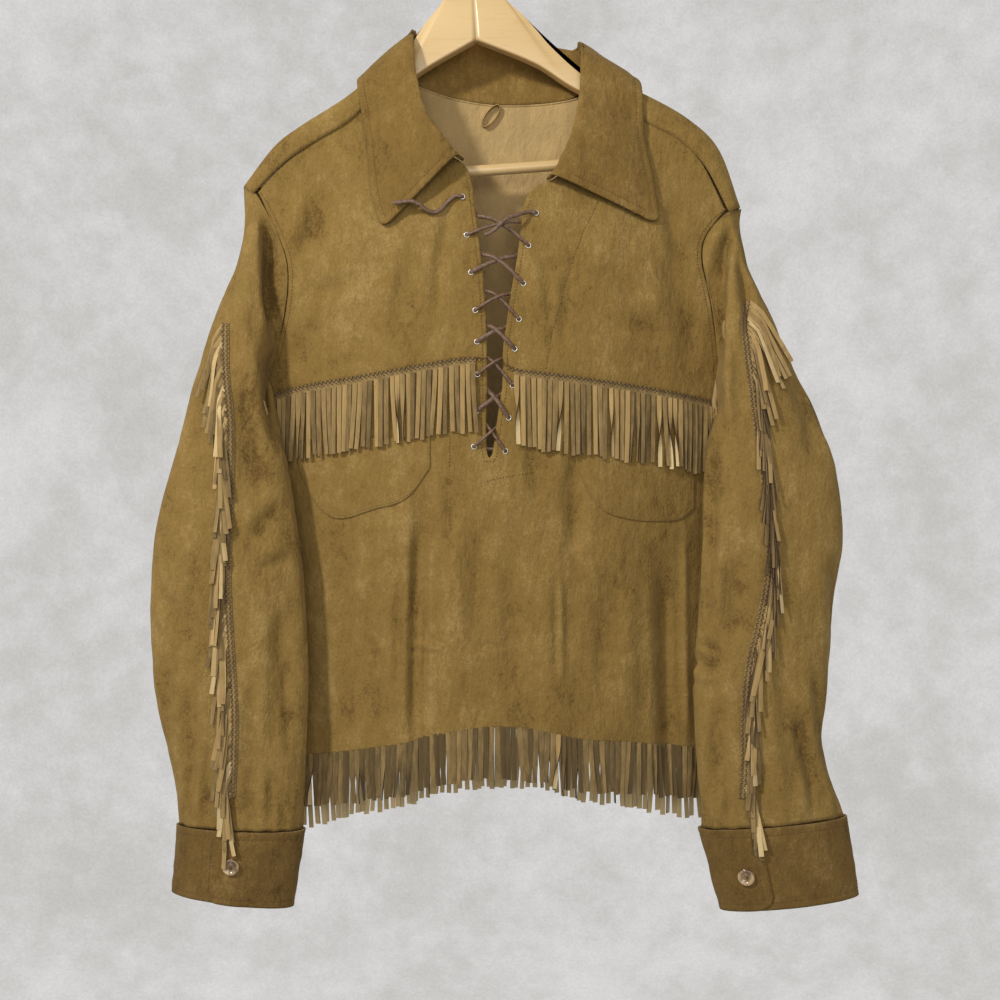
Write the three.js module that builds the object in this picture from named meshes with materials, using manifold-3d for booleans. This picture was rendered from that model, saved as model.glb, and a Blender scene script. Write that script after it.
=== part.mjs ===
// A fringed suede pullover jacket that hangs on a tilted wooden hanger.
// Millimetres, +Z up, the front of the jacket faces -Y, and +X is the viewer's right.
// The origin is the inside top of the hanger's hook, where a rail carries the jacket.

import * as THREE from 'three';
import { mergeVertices } from 'three/addons/utils/BufferGeometryUtils.js';
import Module from 'manifold-3d';

const wasm = await Module();
wasm.setup();

// Cloth and seams
const WALL = 1.6;
const GAP = 0.3;
const PATCH = 1.2;
const POCKET_GAP = 0.9;
const COLLAR_WALL = 2.6;
const STRAND_THICK = 1.1;

// The torso is a lens: its middle, half width and the heights that drive it
const ARMPIT_Z = -455;
const HEM_Z = -800;
const CHEST = { middle: 22, half: 224 };
const HEM = { middle: 31, half: 209 };
const LENS_POWER = 2.4;
const FRONT_SIDE_Y = 13;
const BACK_SIDE_Y = 17;
const SHOULDER_REST = 11;
const STRIP = 8;

// The line of the shoulders, from which the front falls forward
const SHOULDER_LINE = { middle: 27, neckHalf: 75, z: -150, slope: 0.72, fall: 60 };

// How far the middle of the front, and its edge by the armhole, stand forward at each height
const frontDepth = [
  { middle: 33, edge: 9 },
  { middle: 38, edge: 7 },
  { middle: 39, edge: -6 },
  { middle: 39, edge: -13 },
  { middle: 38, edge: -13 },
  { middle: 37, edge: -13 },
  { middle: 36, edge: -13 },
];
const FRONT_DEPTH_TOP = -230;

const backDepth = [
  { middle: 38, edge: 11 },
  { middle: 42, edge: 12 },
  { middle: 45, edge: 15 },
  { middle: 45, edge: 17 },
  { middle: 44, edge: 17 },
  { middle: 42, edge: 17 },
  { middle: 40, edge: 17 },
];

// Long soft folds that hang in the front and the back: depth is positive for a trough
const frontFolds = [
  { x: -39, top: -535, bottom: -812, width: 11, depth: 7 },
  { x: -14, top: -560, bottom: -800, width: 16, depth: -4 },
  { x: 92, top: -520, bottom: -700, width: 13, depth: 4 },
  { x: 84, top: -580, bottom: -800, width: 17, depth: -4 },
  { x: 190, top: -575, bottom: -830, width: 18, depth: 5 },
  { x: -140, top: -575, bottom: -810, width: 19, depth: 4 },
];
const backFolds = [
  { x: -95, top: -260, bottom: -800, width: 26, depth: 6 },
  { x: 28, top: -330, bottom: -810, width: 22, depth: 5 },
  { x: 74, top: -420, bottom: -800, width: 18, depth: -5 },
  { x: 140, top: -270, bottom: -800, width: 26, depth: 6 },
];

// The seam across the chest and the line where the hem is cut into fringe
const chestSeam = [
  { x: -206, z: -457 }, { x: -165, z: -447 }, { x: -124, z: -441 }, { x: -83, z: -435 },
  { x: -42, z: -428 }, { x: 0, z: -422 }, { x: 24, z: -424 }, { x: 48, z: -433 },
  { x: 90, z: -438 }, { x: 130, z: -443 }, { x: 170, z: -448 }, { x: 210, z: -454 },
  { x: 250, z: -461 },
];
const hemLine = [
  { x: -190, z: -809 }, { x: -147, z: -805 }, { x: -104, z: -797 }, { x: -61, z: -789 },
  { x: -18, z: -777 }, { x: 25, z: -772 }, { x: 68, z: -775 }, { x: 111, z: -785 },
  { x: 154, z: -789 }, { x: 197, z: -796 }, { x: 245, z: -801 },
];
const BACK_HEM_DROP = 12;

// Armhole seams from the shoulder point down to the armpit
const armholeLeft = [
  { x: -219, z: -251 }, { x: -204, z: -262 }, { x: -193, z: -281 }, { x: -182, z: -304 },
  { x: -175, z: -326 }, { x: -174, z: -348 }, { x: -177, z: -371 }, { x: -182, z: -393 },
  { x: -188, z: -415 }, { x: -195, z: -436 }, { x: -202, z: -455 },
];
const armholeRight = [
  { x: 266, z: -273 }, { x: 250, z: -279 }, { x: 237, z: -291 }, { x: 228, z: -307 },
  { x: 227, z: -326 }, { x: 232, z: -347 }, { x: 237, z: -369 }, { x: 241, z: -392 },
  { x: 244, z: -415 }, { x: 245, z: -437 }, { x: 246, z: -457 },
];

// The inner edge of each front yoke: up the neck slit, then round the neck to the shoulder
const slitLeft = [
  { x: 18.7, z: -423 }, { x: 18.3, z: -398 }, { x: 16.8, z: -370 }, { x: 14.6, z: -340 },
  { x: 11, z: -308 }, { x: 7.4, z: -278 }, { x: 3, z: -248 }, { x: -6, z: -233 },
  { x: -27, z: -221 }, { x: -48, z: -201 }, { x: -65, z: -172 }, { x: -74, z: -136 },
];
const slitRight = [
  { x: 33.8, z: -429 }, { x: 34, z: -412 }, { x: 37.6, z: -386 }, { x: 41.6, z: -358 },
  { x: 46.6, z: -330 }, { x: 50.4, z: -303 }, { x: 54.6, z: -272 }, { x: 66, z: -256 },
  { x: 84, z: -248 }, { x: 106, z: -226 }, { x: 121, z: -192 }, { x: 130, z: -152 },
];
// The end of the slit, in the lower front, from its left edge round to its right edge
const slitEnd = [
  { x: 18.7, z: -400 }, { x: 18.6, z: -450 }, { x: 17.9, z: -485 }, { x: 18.2, z: -508 },
  { x: 20, z: -516 }, { x: 22.2, z: -516 }, { x: 24.6, z: -508 }, { x: 27.6, z: -485 },
  { x: 33, z: -450 }, { x: 33.9, z: -400 },
];

// The top of the back: ridge is where it passes over the hanger, lap its edge on the front
const backTop = [
  { x: -219, y: 0, z: -250, lapX: -208, lapY: -11, lapZ: -259 },
  { x: -190, y: 0, z: -212, lapX: -178, lapY: -11.5, lapZ: -229 },
  { x: -165, y: 0, z: -192, lapX: -154, lapY: -11.5, lapZ: -212 },
  { x: -121, y: 0, z: -164, lapX: -108, lapY: -11, lapZ: -182 },
  { x: -79, y: 0, z: -131, lapX: -77, lapY: -7, lapZ: -136 },
  { x: -70, y: 10.5, z: -133, lapX: -70, lapY: 10, lapZ: -132.6 },
  { x: -57, y: 16, z: -142, lapX: -57, lapY: 15, lapZ: -141.6 },
  { x: -40, y: 21, z: -149, lapX: -40, lapY: 20, lapZ: -148.6 },
  { x: -11, y: 27, z: -156, lapX: -11, lapY: 26, lapZ: -155.6 },
  { x: 26, y: 29, z: -161, lapX: 26, lapY: 28, lapZ: -160.6 },
  { x: 67, y: 27, z: -161, lapX: 67, lapY: 26, lapZ: -160.6 },
  { x: 98, y: 21, z: -159, lapX: 98, lapY: 20, lapZ: -158.6 },
  { x: 114, y: 16, z: -155, lapX: 114, lapY: 15, lapZ: -154.6 },
  { x: 127, y: 10.5, z: -149, lapX: 127, lapY: 10, lapZ: -148.6 },
  { x: 137, y: 0, z: -146, lapX: 134, lapY: -7, lapZ: -152 },
  { x: 178, y: 0, z: -163, lapX: 168, lapY: -11, lapZ: -186 },
  { x: 217, y: 0, z: -186, lapX: 203, lapY: -11.5, lapZ: -206 },
  { x: 245, y: 0, z: -215, lapX: 229, lapY: -11.5, lapZ: -231 },
  { x: 265.4, y: 0, z: -270.6, lapX: 253.4, lapY: -11, lapZ: -277.2 },
];
const FRONT_SHOULDER_LEFT = [
  { x: -208, z: -259 }, { x: -178, z: -229 }, { x: -154, z: -212 }, { x: -108, z: -182 },
  { x: -74, z: -136 },
];
const FRONT_SHOULDER_RIGHT = [
  { x: 254, z: -278 }, { x: 229, z: -231 }, { x: 203, z: -206 }, { x: 168, z: -186 },
  { x: 130, z: -152 },
];

// Sleeve sections from the armhole to the cuff seam: outer and inner edge, middle and half depth
const sleeveLeft = [
  { outX: -219, outZ: -252, inX: -202, inZ: -455, y: 2, depth: 12 },
  { outX: -217, outZ: -296, inX: -199, inZ: -464, y: -10, depth: 17 },
  { outX: -221, outZ: -324, inX: -189, inZ: -475, y: -18, depth: 20 },
  { outX: -236, outZ: -364, inX: -178, inZ: -490, y: -20, depth: 22 },
  { outX: -252, outZ: -412, inX: -173, inZ: -512, y: -24, depth: 23 },
  { outX: -272, outZ: -490, inX: -166, inZ: -560, y: -27, depth: 23 },
  { outX: -293, outZ: -562, inX: -159, inZ: -612, y: -28, depth: 23 },
  { outX: -301, outZ: -632, inX: -155, inZ: -662, y: -28, depth: 23 },
  { outX: -301, outZ: -700, inX: -152, inZ: -713, y: -28, depth: 23 },
  { outX: -293, outZ: -760, inX: -153, inZ: -768, y: -28, depth: 23 },
  { outX: -279, outZ: -818, inX: -156, inZ: -824, y: -28, depth: 22 },
  { outX: -275, outZ: -864, inX: -158, inZ: -869, y: -28, depth: 21 },
];
const sleeveRight = [
  { outX: 266, outZ: -274, inX: 246, inZ: -457, y: 2, depth: 12 },
  { outX: 261, outZ: -305, inX: 244, inZ: -468, y: -10, depth: 16 },
  { outX: 270, outZ: -334, inX: 235, inZ: -484, y: -18, depth: 19 },
  { outX: 290, outZ: -376, inX: 228, inZ: -508, y: -20, depth: 22 },
  { outX: 308, outZ: -420, inX: 225, inZ: -540, y: -24, depth: 23 },
  { outX: 333, outZ: -472, inX: 224, inZ: -582, y: -27, depth: 23 },
  { outX: 352, outZ: -530, inX: 222, inZ: -630, y: -28, depth: 23 },
  { outX: 358, outZ: -590, inX: 220, inZ: -674, y: -28, depth: 23 },
  { outX: 350, outZ: -655, inX: 217, inZ: -722, y: -28, depth: 23 },
  { outX: 343, outZ: -728, inX: 218, inZ: -770, y: -28, depth: 23 },
  { outX: 341, outZ: -790, inX: 221, inZ: -818, y: -28, depth: 22 },
  { outX: 359, outZ: -856, inX: 224, inZ: -868, y: -28, depth: 21 },
];
const SLEEVE_HEAD = 0.22;
const UNDERARM = 13.8;
const HEAD_SHIFT = 3.2;
const BACK_SHIFT = 2;
// Behind, the armhole runs this much nearer to a straight line than it does in front
const BACK_ARMHOLE = 0.6;
const SLEEVE_STEPS = 17;
const ARMHOLE_STEPS = 9;
const YOKE_STEPS = 11;

const cuffLeft = [
  { outX: -277, outZ: -865, inX: -157, inZ: -870, y: -28, depth: 22 },
  { outX: -281, outZ: -929, inX: -168, inZ: -943, y: -28, depth: 21 },
];
const cuffRight = [
  { outX: 361, outZ: -857, inX: 223, inZ: -869, y: -28, depth: 22 },
  { outX: 373, outZ: -932, inX: 243, inZ: -946, y: -28, depth: 21 },
];
// The cuff laps over itself beside its button; the numbers are turns from the outer edge
const CUFF_LAP = { leftEnd: 0.18, rightEnd: 0.29, turns: 1.1, rise: 2.2, proud: 0.6 };

// Collar stations from the left front corner round the back of the neck to the right one
const collarStations = [
  { seamX: -3, seamZ: -230, rollX: -9, rollY: -43, rollZ: -229, edgeX: -82, edgeZ: -300, lay: -1 },
  { seamX: -22, seamZ: -217, rollX: -23, rollY: -42, rollZ: -208, edgeX: -92, edgeZ: -266, lay: -1 },
  { seamX: -42, seamZ: -197, rollX: -37, rollY: -38, rollZ: -185, edgeX: -96, edgeZ: -232, lay: -1 },
  { seamX: -58, seamZ: -167, rollX: -47, rollY: -27, rollZ: -150, edgeX: -101, edgeZ: -196, lay: -1 },
  { seamX: -70, seamZ: -122, rollX: -51, rollY: -5, rollZ: -101, edgeX: -109, edgeZ: -145, lay: 0 },
  { seamX: -47, seamZ: -145, rollX: -45, rollY: 20, rollZ: -99, edgeX: -97, edgeZ: -178, lay: 1 },
  { seamX: -12, seamZ: -154.6, rollX: -14, rollY: 31, rollZ: -99, edgeX: -34, edgeZ: -188, lay: 1 },
  { seamX: 26, seamZ: -159.6, rollX: 26, rollY: 34, rollZ: -101, edgeX: 26, edgeZ: -192, lay: 1 },
  { seamX: 66, seamZ: -159.6, rollX: 68, rollY: 31, rollZ: -103, edgeX: 90, edgeZ: -194, lay: 1 },
  { seamX: 104, seamZ: -156, rollX: 100, rollY: 20, rollZ: -108, edgeX: 153, edgeZ: -190, lay: 1 },
  { seamX: 126, seamZ: -137, rollX: 106, rollY: -5, rollZ: -113, edgeX: 167, edgeZ: -146, lay: 0 },
  { seamX: 114, seamZ: -189, rollX: 105, rollY: -27, rollZ: -165, edgeX: 170, edgeZ: -196, lay: -1 },
  { seamX: 101, seamZ: -222, rollX: 99, rollY: -38, rollZ: -202, edgeX: 175, edgeZ: -228, lay: -1 },
  { seamX: 83, seamZ: -244, rollX: 90, rollY: -42, rollZ: -229, edgeX: 181, edgeZ: -262, lay: -1 },
  { seamX: 75, seamZ: -249, rollX: 80, rollY: -43, rollZ: -248, edgeX: 185, edgeZ: -293, lay: -1 },
];
const COLLAR = { standOff: 3, standShare: 0.3, bulge: 4, corner: 14 };

// Patch pockets: sides, top and the rounded lower edge
const pocketLeft = { left: -167, right: -35, top: -497, lower: [-522, -556, -572, -574, -569, -564, -560, -549, -525] };
const pocketRight = { left: 103, right: 222, top: -504, lower: [-522, -554, -568, -573, -576, -577, -577, -575, -565] };

// Eyelets down the slit, from the neck to the lower end
const eyelets = [
  { leftX: -4.9, leftZ: -267, rightX: 65.3, rightZ: -282.7 },
  { leftX: -0.6, leftZ: -304, rightX: 58, rightZ: -314.3 },
  { leftX: 3.6, leftZ: -340, rightX: 53.2, rightZ: -350.6 },
  { leftX: 7.6, leftZ: -376, rightX: 48.9, rightZ: -384.6 },
  { leftX: 9.2, leftZ: -406, rightX: 45, rightZ: -412.8 },
  { leftX: 9.6, leftZ: -437, rightX: 43, rightZ: -447.5 },
  { leftX: 8.6, leftZ: -472, rightX: 39.2, rightZ: -478.1 },
  { leftX: 6.3, leftZ: -505.5, rightX: 36.1, rightZ: -509.7 },
];
const YOKE_EYELETS = 5;
const EYELET = { hole: 2.1, outer: 3.4, thick: 0.7, sides: 6, proud: 0.3 };
const LACE = {
  radius: 1.5, sides: 6, front: 3.1, behind: 3.6, over: 3.8, edge: 2.2, dip: 1, under: 4.3, tail: 3.8,
};

// The two free ends of the lace, from the mouth of the top eyelets
const laceEndLeft = [
  { x: -9.3, z: -267, out: 3.1 }, { x: -14, z: -268.5, out: 2.8 }, { x: -20, z: -273, out: 2.4 },
  { x: -25, z: -279, out: 2.6 }, { x: -31, z: -283, out: 3.6 }, { x: -38, z: -282, out: 7 },
  { x: -45, z: -277, out: 10.6 }, { x: -53, z: -273.5, out: 13 }, { x: -62, z: -274, out: 13.4 },
  { x: -70, z: -276, out: 13.4 },
];
const laceEndRight = [
  { x: 61.1, z: -282.7, out: 3.1 }, { x: 56, z: -283.2, out: 4.4 }, { x: 50, z: -285, out: 8 },
  { x: 43, z: -288.5, out: 10.5 }, { x: 36, z: -293, out: 11.5 }, { x: 30, z: -297.6, out: 11.5 },
  { x: 24, z: -302, out: 11 }, { x: 17, z: -306.5, out: 10.5 },
];

// Sleeve fringe: the seam that the strands hang from, drawn on the front of the sleeve
const sleeveSeamLeft = [
  { x: -230, z: -388 }, { x: -228, z: -432 }, { x: -223, z: -478 }, { x: -222, z: -524 },
  { x: -223, z: -570 }, { x: -225, z: -616 }, { x: -224, z: -662 }, { x: -221, z: -708 },
  { x: -218, z: -754 }, { x: -219, z: -800 }, { x: -222, z: -836 },
];
const sleeveSeamRight = [
  { x: 268, z: -366 }, { x: 264, z: -396 }, { x: 268, z: -440 }, { x: 273, z: -486 },
  { x: 279, z: -532 }, { x: 284, z: -578 }, { x: 283, z: -624 }, { x: 275, z: -668 },
  { x: 265, z: -712 }, { x: 261, z: -760 }, { x: 261, z: -806 }, { x: 259, z: -836 },
];
const SLEEVE_FRINGE = { strands: 25, width: 4.6, length: 60, strip: 6, shingle: 0.11, base: 0.6 };
const CHEST_FRINGE = { strands: 24, width: 5.6, length: 62, shingle: 0.06, base: 0.9 };
const HEM_FRINGE = { front: 36, back: 30, width: 5.6, length: 52 };

const BUTTON = { radius: 8.2, thick: 3.6, leftX: -220.7, leftZ: -899, rightX: 262.4, rightZ: -910 };

// The hanger in its own untilted frame: top edge from the middle outwards, then the lower edge
const HANGER_TILT = THREE.MathUtils.degToRad(4.1);
const HANGER_THICK = 14;
const HANGER_ROUND = 3;
const armTop = [
  { x: 0.15, z: -36 }, { x: 9, z: -39 }, { x: 19, z: -51 }, { x: 31, z: -70 }, { x: 45, z: -85 },
  { x: 56, z: -100 }, { x: 70, z: -119 }, { x: 96, z: -146 }, { x: 132, z: -172 },
  { x: 176, z: -193 }, { x: 204, z: -210 }, { x: 219, z: -227 },
];
const armLower = [
  { x: 220, z: -242 }, { x: 209, z: -249 }, { x: 190, z: -249 }, { x: 188, z: -220 },
  { x: 176, z: -214 },
  { x: 132, z: -186 }, { x: 89, z: -160 }, { x: 55, z: -135 }, { x: 0.15, z: -108 },
];
const BAR = { radius: 5.5, half: 187.6, z: -234 };
const HOOK = { wire: 1.8, bend: 17, foot: -35.6, steps: 20, sides: 8 };
const LOOP = { x: 22, z: -172, tilt: 0.9, long: 12.5, short: 4.6, width: 4, thick: 0.8 };

const suede = new THREE.MeshStandardMaterial({ color: 0x8d6f3f, roughness: 0.95, metalness: 0 });
const fringeSuede = new THREE.MeshStandardMaterial({ color: 0xa98d5b, roughness: 0.95, metalness: 0 });
const laceLeather = new THREE.MeshStandardMaterial({ color: 0x735c4c, roughness: 0.8, metalness: 0 });
const wood = new THREE.MeshStandardMaterial({ color: 0xe1be82, roughness: 0.45, metalness: 0 });
const steel = new THREE.MeshStandardMaterial({ color: 0xb9bcc0, roughness: 0.3, metalness: 1 });
const horn = new THREE.MeshStandardMaterial({ color: 0x6b4a2b, roughness: 0.25, metalness: 0 });

const jacket = new THREE.Group();

function add(name, geometry, material, parent = jacket) {
  const mesh = new THREE.Mesh(geometry, material);
  mesh.name = name;
  parent.add(mesh);
  return mesh;
}

const mix = (a, b, f) => a + (b - a) * f;
const clamp = (value) => Math.min(Math.max(value, 0), 1);
const ease = (value) => clamp(value) ** 2 * (3 - 2 * clamp(value));
const steps = (count, from = 0, to = 1) => Array.from({ length: count + 1 }, (_, i) => mix(from, to, i / count));

// A smooth curve through one column of a table whose rows are evenly spaced from 0 to 1
function column(rows, name, f) {
  const last = rows.length - 1;
  const place = clamp(f) * last;
  const i = Math.min(Math.floor(place), last - 1);
  const t = place - i;
  const value = (k) => {
    if (k < 0) return 2 * rows[0][name] - rows[1][name];
    if (k > last) return 2 * rows[last][name] - rows[last - 1][name];
    return rows[k][name];
  };
  const [a, b, c, d] = [value(i - 1), value(i), value(i + 1), value(i + 2)];
  return b + 0.5 * t * (c - a + t * (2 * a - 5 * b + 4 * c - d + t * (3 * (b - c) + d - a)));
}

// The height of a line that is given by x and z rows in order of x
function heightAt(rows, x) {
  const i = Math.min(Math.max(rows.findIndex((row) => row.x > x) - 1, 0), rows.length - 2);
  const k = x >= rows[rows.length - 1].x ? rows.length - 2 : i;
  const f = (x - rows[k].x) / (rows[k + 1].x - rows[k].x);
  return column(rows, 'z', (k + f) / (rows.length - 1));
}

const belowArmpit = (z) => clamp((z - ARMPIT_Z) / (HEM_Z - ARMPIT_Z));
const torsoMiddle = (z) => mix(CHEST.middle, HEM.middle, belowArmpit(z));
const torsoHalf = (z) => mix(CHEST.half, HEM.half, belowArmpit(z));

// The sum of the folds at a point: each fades in below its top and out above its bottom
function foldsAt(folds, x, z) {
  return folds.reduce((sum, fold) => {
    const along = (fold.top - z) / (fold.top - fold.bottom);
    const fade = ease(along * 4) * ease((1.15 - along) * 4);
    return sum + fold.depth * fade * Math.exp(-(((x - fold.x) / fold.width) ** 2));
  }, 0);
}

// How far a face of the lens stands from its edge at a point of the front view
function lens(depths, x, z) {
  const f = clamp((FRONT_DEPTH_TOP - z) / (FRONT_DEPTH_TOP - HEM_Z));
  const across = Math.min(Math.abs(x - torsoMiddle(z)) / torsoHalf(z), 1);
  const edge = column(depths, 'edge', f);
  return edge + (column(depths, 'middle', f) - edge) * (1 - across ** LENS_POWER);
}

// Outer face of the front: it rests on the hanger at the shoulders and falls forward below
function frontY(x, z) {
  const wide = Math.max(Math.abs(x - SHOULDER_LINE.middle) - SHOULDER_LINE.neckHalf, 0);
  const drop = Math.max(SHOULDER_LINE.z - SHOULDER_LINE.slope * wide - z, 0);
  const full = 1 - Math.exp(-drop / SHOULDER_LINE.fall);
  return -SHOULDER_REST - (lens(frontDepth, x, z) - SHOULDER_REST) * full + foldsAt(frontFolds, x, z);
}

// Outer face of the back below its ridge, given the ridge's own depth and height
function backY(x, z, ridgeY, ridgeZ) {
  const drop = Math.max(ridgeZ - z, 0);
  const rest = SHOULDER_REST * (1 - Math.exp(-drop / 2.5)) * (1 - clamp(ridgeY / 15));
  const full = 1 - Math.exp(-drop / 60);
  return ridgeY + rest + (lens(backDepth, x, z) - ridgeY - rest) * full - foldsAt(backFolds, x, z);
}

const vector = (x, y, z) => new THREE.Vector3(x, y, z);

// An indexed geometry from points and faces, turned so that its faces point out
function solid(points, faces) {
  const volume = faces.reduce((sum, [a, b, c]) => {
    return sum + points[a].dot(new THREE.Vector3().crossVectors(points[b], points[c]));
  }, 0);
  const turned = volume > 0 ? faces : faces.map(([a, b, c]) => [a, c, b]);
  const geometry = new THREE.BufferGeometry();
  const positions = points.flatMap((p) => [p.x, p.y, p.z]);
  geometry.setAttribute('position', new THREE.Float32BufferAttribute(positions, 3));
  geometry.setIndex(turned.flat());
  geometry.computeVertexNormals();
  return geometry;
}

const quad = (a, b, c, d) => [[a, b, c], [a, c, d]];

// A wall of cloth from its outer surface, which is a function of u and v.
// closed joins the last u to the first; edgeNormal may give the thickness direction at an edge.
function wall(surface, us, vs, { thick = WALL, closed = false, turn = 1, edgeNormal = null } = {}) {
  const columns = us.length;
  const rows = vs.length;
  const outer = us.map((u) => vs.map((v) => surface(u, v)));
  const wrap = (i) => (closed ? (i + columns) % columns : Math.min(Math.max(i, 0), columns - 1));
  const inner = us.map((u, i) => vs.map((v, j) => {
    const along = new THREE.Vector3().subVectors(outer[wrap(i + 1)][j], outer[wrap(i - 1)][j]);
    const up = Math.min(j + 1, rows - 1);
    const down = Math.max(j - 1, 0);
    const across = new THREE.Vector3().subVectors(outer[i][up], outer[i][down]);
    const own = along.cross(across).normalize().multiplyScalar(turn);
    const normal = (edgeNormal && edgeNormal(u, v, own)) || own;
    return outer[i][j].clone().addScaledVector(normal, -thick);
  }));
  const points = [...outer.flat(), ...inner.flat()];
  const at = (i, j) => wrap(i) * rows + j;
  const under = (i, j) => columns * rows + at(i, j);
  const faces = [];
  const spans = closed ? columns : columns - 1;
  for (let i = 0; i < spans; i += 1) {
    for (let j = 0; j < rows - 1; j += 1) {
      faces.push(...quad(at(i, j), at(i + 1, j), at(i + 1, j + 1), at(i, j + 1)));
      faces.push(...quad(under(i, j), under(i, j + 1), under(i + 1, j + 1), under(i + 1, j)));
    }
    faces.push(...quad(at(i, 0), under(i, 0), under(i + 1, 0), at(i + 1, 0)));
    const top = rows - 1;
    faces.push(...quad(at(i, top), at(i + 1, top), under(i + 1, top), under(i, top)));
  }
  if (!closed) {
    const end = columns - 1;
    for (let j = 0; j < rows - 1; j += 1) {
      faces.push(...quad(at(0, j), at(0, j + 1), under(0, j + 1), under(0, j)));
      faces.push(...quad(at(end, j), under(end, j), under(end, j + 1), at(end, j + 1)));
    }
  }
  return solid(points, faces);
}

// A patch of four edges in the front view: each edge is a function that gives x and z
function coons(left, right, lower, upper) {
  return (u, v) => {
    const blend = (name) => (
      mix(left(v)[name], right(v)[name], u) + mix(lower(u)[name], upper(u)[name], v)
      - mix(mix(left(0)[name], right(0)[name], u), mix(left(1)[name], right(1)[name], u), v)
    );
    return { x: blend('x'), z: blend('z') };
  };
}

const along = (rows) => (f) => ({ x: column(rows, 'x', f), z: column(rows, 'z', f) });

function backArmX(rows, f) {
  return mix(column(rows, 'x', f), mix(rows[0].x, rows[rows.length - 1].x, f), BACK_ARMHOLE);
}

// The armhole loop: t runs from the shoulder point down the front and back up behind
function armhole(rows, t) {
  const front = t <= 0.5;
  const f = front ? 2 * t : 2 - 2 * t;
  const x = front ? column(rows, 'x', f) : backArmX(rows, f);
  const z = column(rows, 'z', f);
  const onFront = frontY(x, z);
  const onBack = backY(x, z, 0, rows[0].z);
  const low = ease((f - 0.9) / 0.1);
  const seam = (FRONT_SIDE_Y + BACK_SIDE_Y) / 2;
  const y = mix(front ? onFront : onBack, seam, low) * ease(f / 0.09);
  return vector(x, y, z);
}

// The direction through the cloth at an armhole seam, where the sleeve laps over the panels
function armholeNormal(t) {
  const angle = 2 * Math.PI * t;
  return vector(0, -8 * Math.sin(angle), Math.cos(angle)).normalize();
}

// A front yoke between the armhole, the shoulder, the neck with its slit, and the chest seam
function yoke(holes, armRows, neckRows, shoulderRows, isLeft) {
  const outward = isLeft ? -1 : 1;
  const topShare = 1 / (armRows.length - 1);
  const arm = (v) => {
    const { x, z } = along(armRows)(mix(1, topShare, v));
    return { x: x - outward * GAP, z };
  };
  const neck = along(neckRows);
  const seam = (u) => {
    const x = mix(arm(0).x, neck(0).x, u);
    return { x, z: heightAt(chestSeam, x) + GAP / 2 };
  };
  const shoulder = (u) => {
    const { x, z } = along(shoulderRows)(u);
    const shift = { x: arm(1).x - shoulderRows[0].x, z: arm(1).z - shoulderRows[0].z };
    return { x: x + shift.x * (1 - u), z: z + shift.z * (1 - u) };
  };
  const armEdge = (v) => ({ x: arm(v).x, z: arm(v).z + (seam(0).z - arm(0).z) * (1 - v) ** 4 });
  const neckEdge = (v) => ({ x: neck(v).x, z: neck(v).z + (seam(1).z - neck(0).z) * (1 - v) ** 4 });
  const fixed = coons(armEdge, neckEdge, seam, shoulder);
  const surface = (u, v) => {
    const { x, z } = fixed(u, v);
    return vector(x, frontY(x, z), z);
  };
  const panel = wall(surface, steps(YOKE_STEPS), steps(ARMHOLE_STEPS), { turn: isLeft ? 1 : -1 });
  return cut(panel, holes);
}

function asManifold(geometry) {
  const bare = geometry.clone();
  bare.deleteAttribute('normal');
  if (bare.getAttribute('uv')) bare.deleteAttribute('uv');
  const merged = mergeVertices(bare, 1e-4);
  const vertProperties = new Float32Array(merged.getAttribute('position').array);
  const triVerts = new Uint32Array(merged.getIndex().array);
  return new wasm.Manifold(new wasm.Mesh({ numProp: 3, vertProperties, triVerts }));
}

// Takes the cutters out of a panel
function cut(geometry, cutters) {
  const body = cutters.reduce((rest, cutter) => rest.subtract(asManifold(cutter)), asManifold(geometry));
  const mesh = body.getMesh();
  const result = new THREE.BufferGeometry();
  result.setAttribute('position', new THREE.BufferAttribute(new Float32Array(mesh.vertProperties), 3));
  result.setIndex(new THREE.BufferAttribute(new Uint32Array(mesh.triVerts), 1));
  result.computeVertexNormals();
  return result;
}

function eyeletHole(x, z) {
  const hole = new THREE.CylinderGeometry(EYELET.hole, EYELET.hole, 20, EYELET.sides);
  hole.translate(x, frontY(x, z), z);
  return hole;
}

const leftHoles = eyelets.map(({ leftX, leftZ }) => eyeletHole(leftX, leftZ));
const rightHoles = eyelets.map(({ rightX, rightZ }) => eyeletHole(rightX, rightZ));

add('front_yoke_left', yoke(leftHoles.slice(0, YOKE_EYELETS), armholeLeft, slitLeft, FRONT_SHOULDER_LEFT, true), suede);
add('front_yoke_right', yoke(rightHoles.slice(0, YOKE_EYELETS), armholeRight, slitRight, FRONT_SHOULDER_RIGHT, false), suede);

// The lower front, from the chest seam to the strip that is cut into fringe
function lowerFront(u, v) {
  const level = mix(ARMPIT_Z, HEM_Z, v);
  const x = torsoMiddle(level) + (2 * u - 1) * torsoHalf(level);
  const z = mix(heightAt(chestSeam, x) - GAP / 2, heightAt(hemLine, x) + STRIP, v);
  return vector(x, frontY(x, z), z);
}

// Its columns continue those of the two yokes, so that the two sides of the chest seam match
const chestColumns = [
  ...steps(YOKE_STEPS, CHEST.middle - CHEST.half, slitLeft[0].x),
  ...steps(YOKE_STEPS, slitRight[0].x, CHEST.middle + CHEST.half),
].map((x) => (x - CHEST.middle + CHEST.half) / (2 * CHEST.half));

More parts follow.
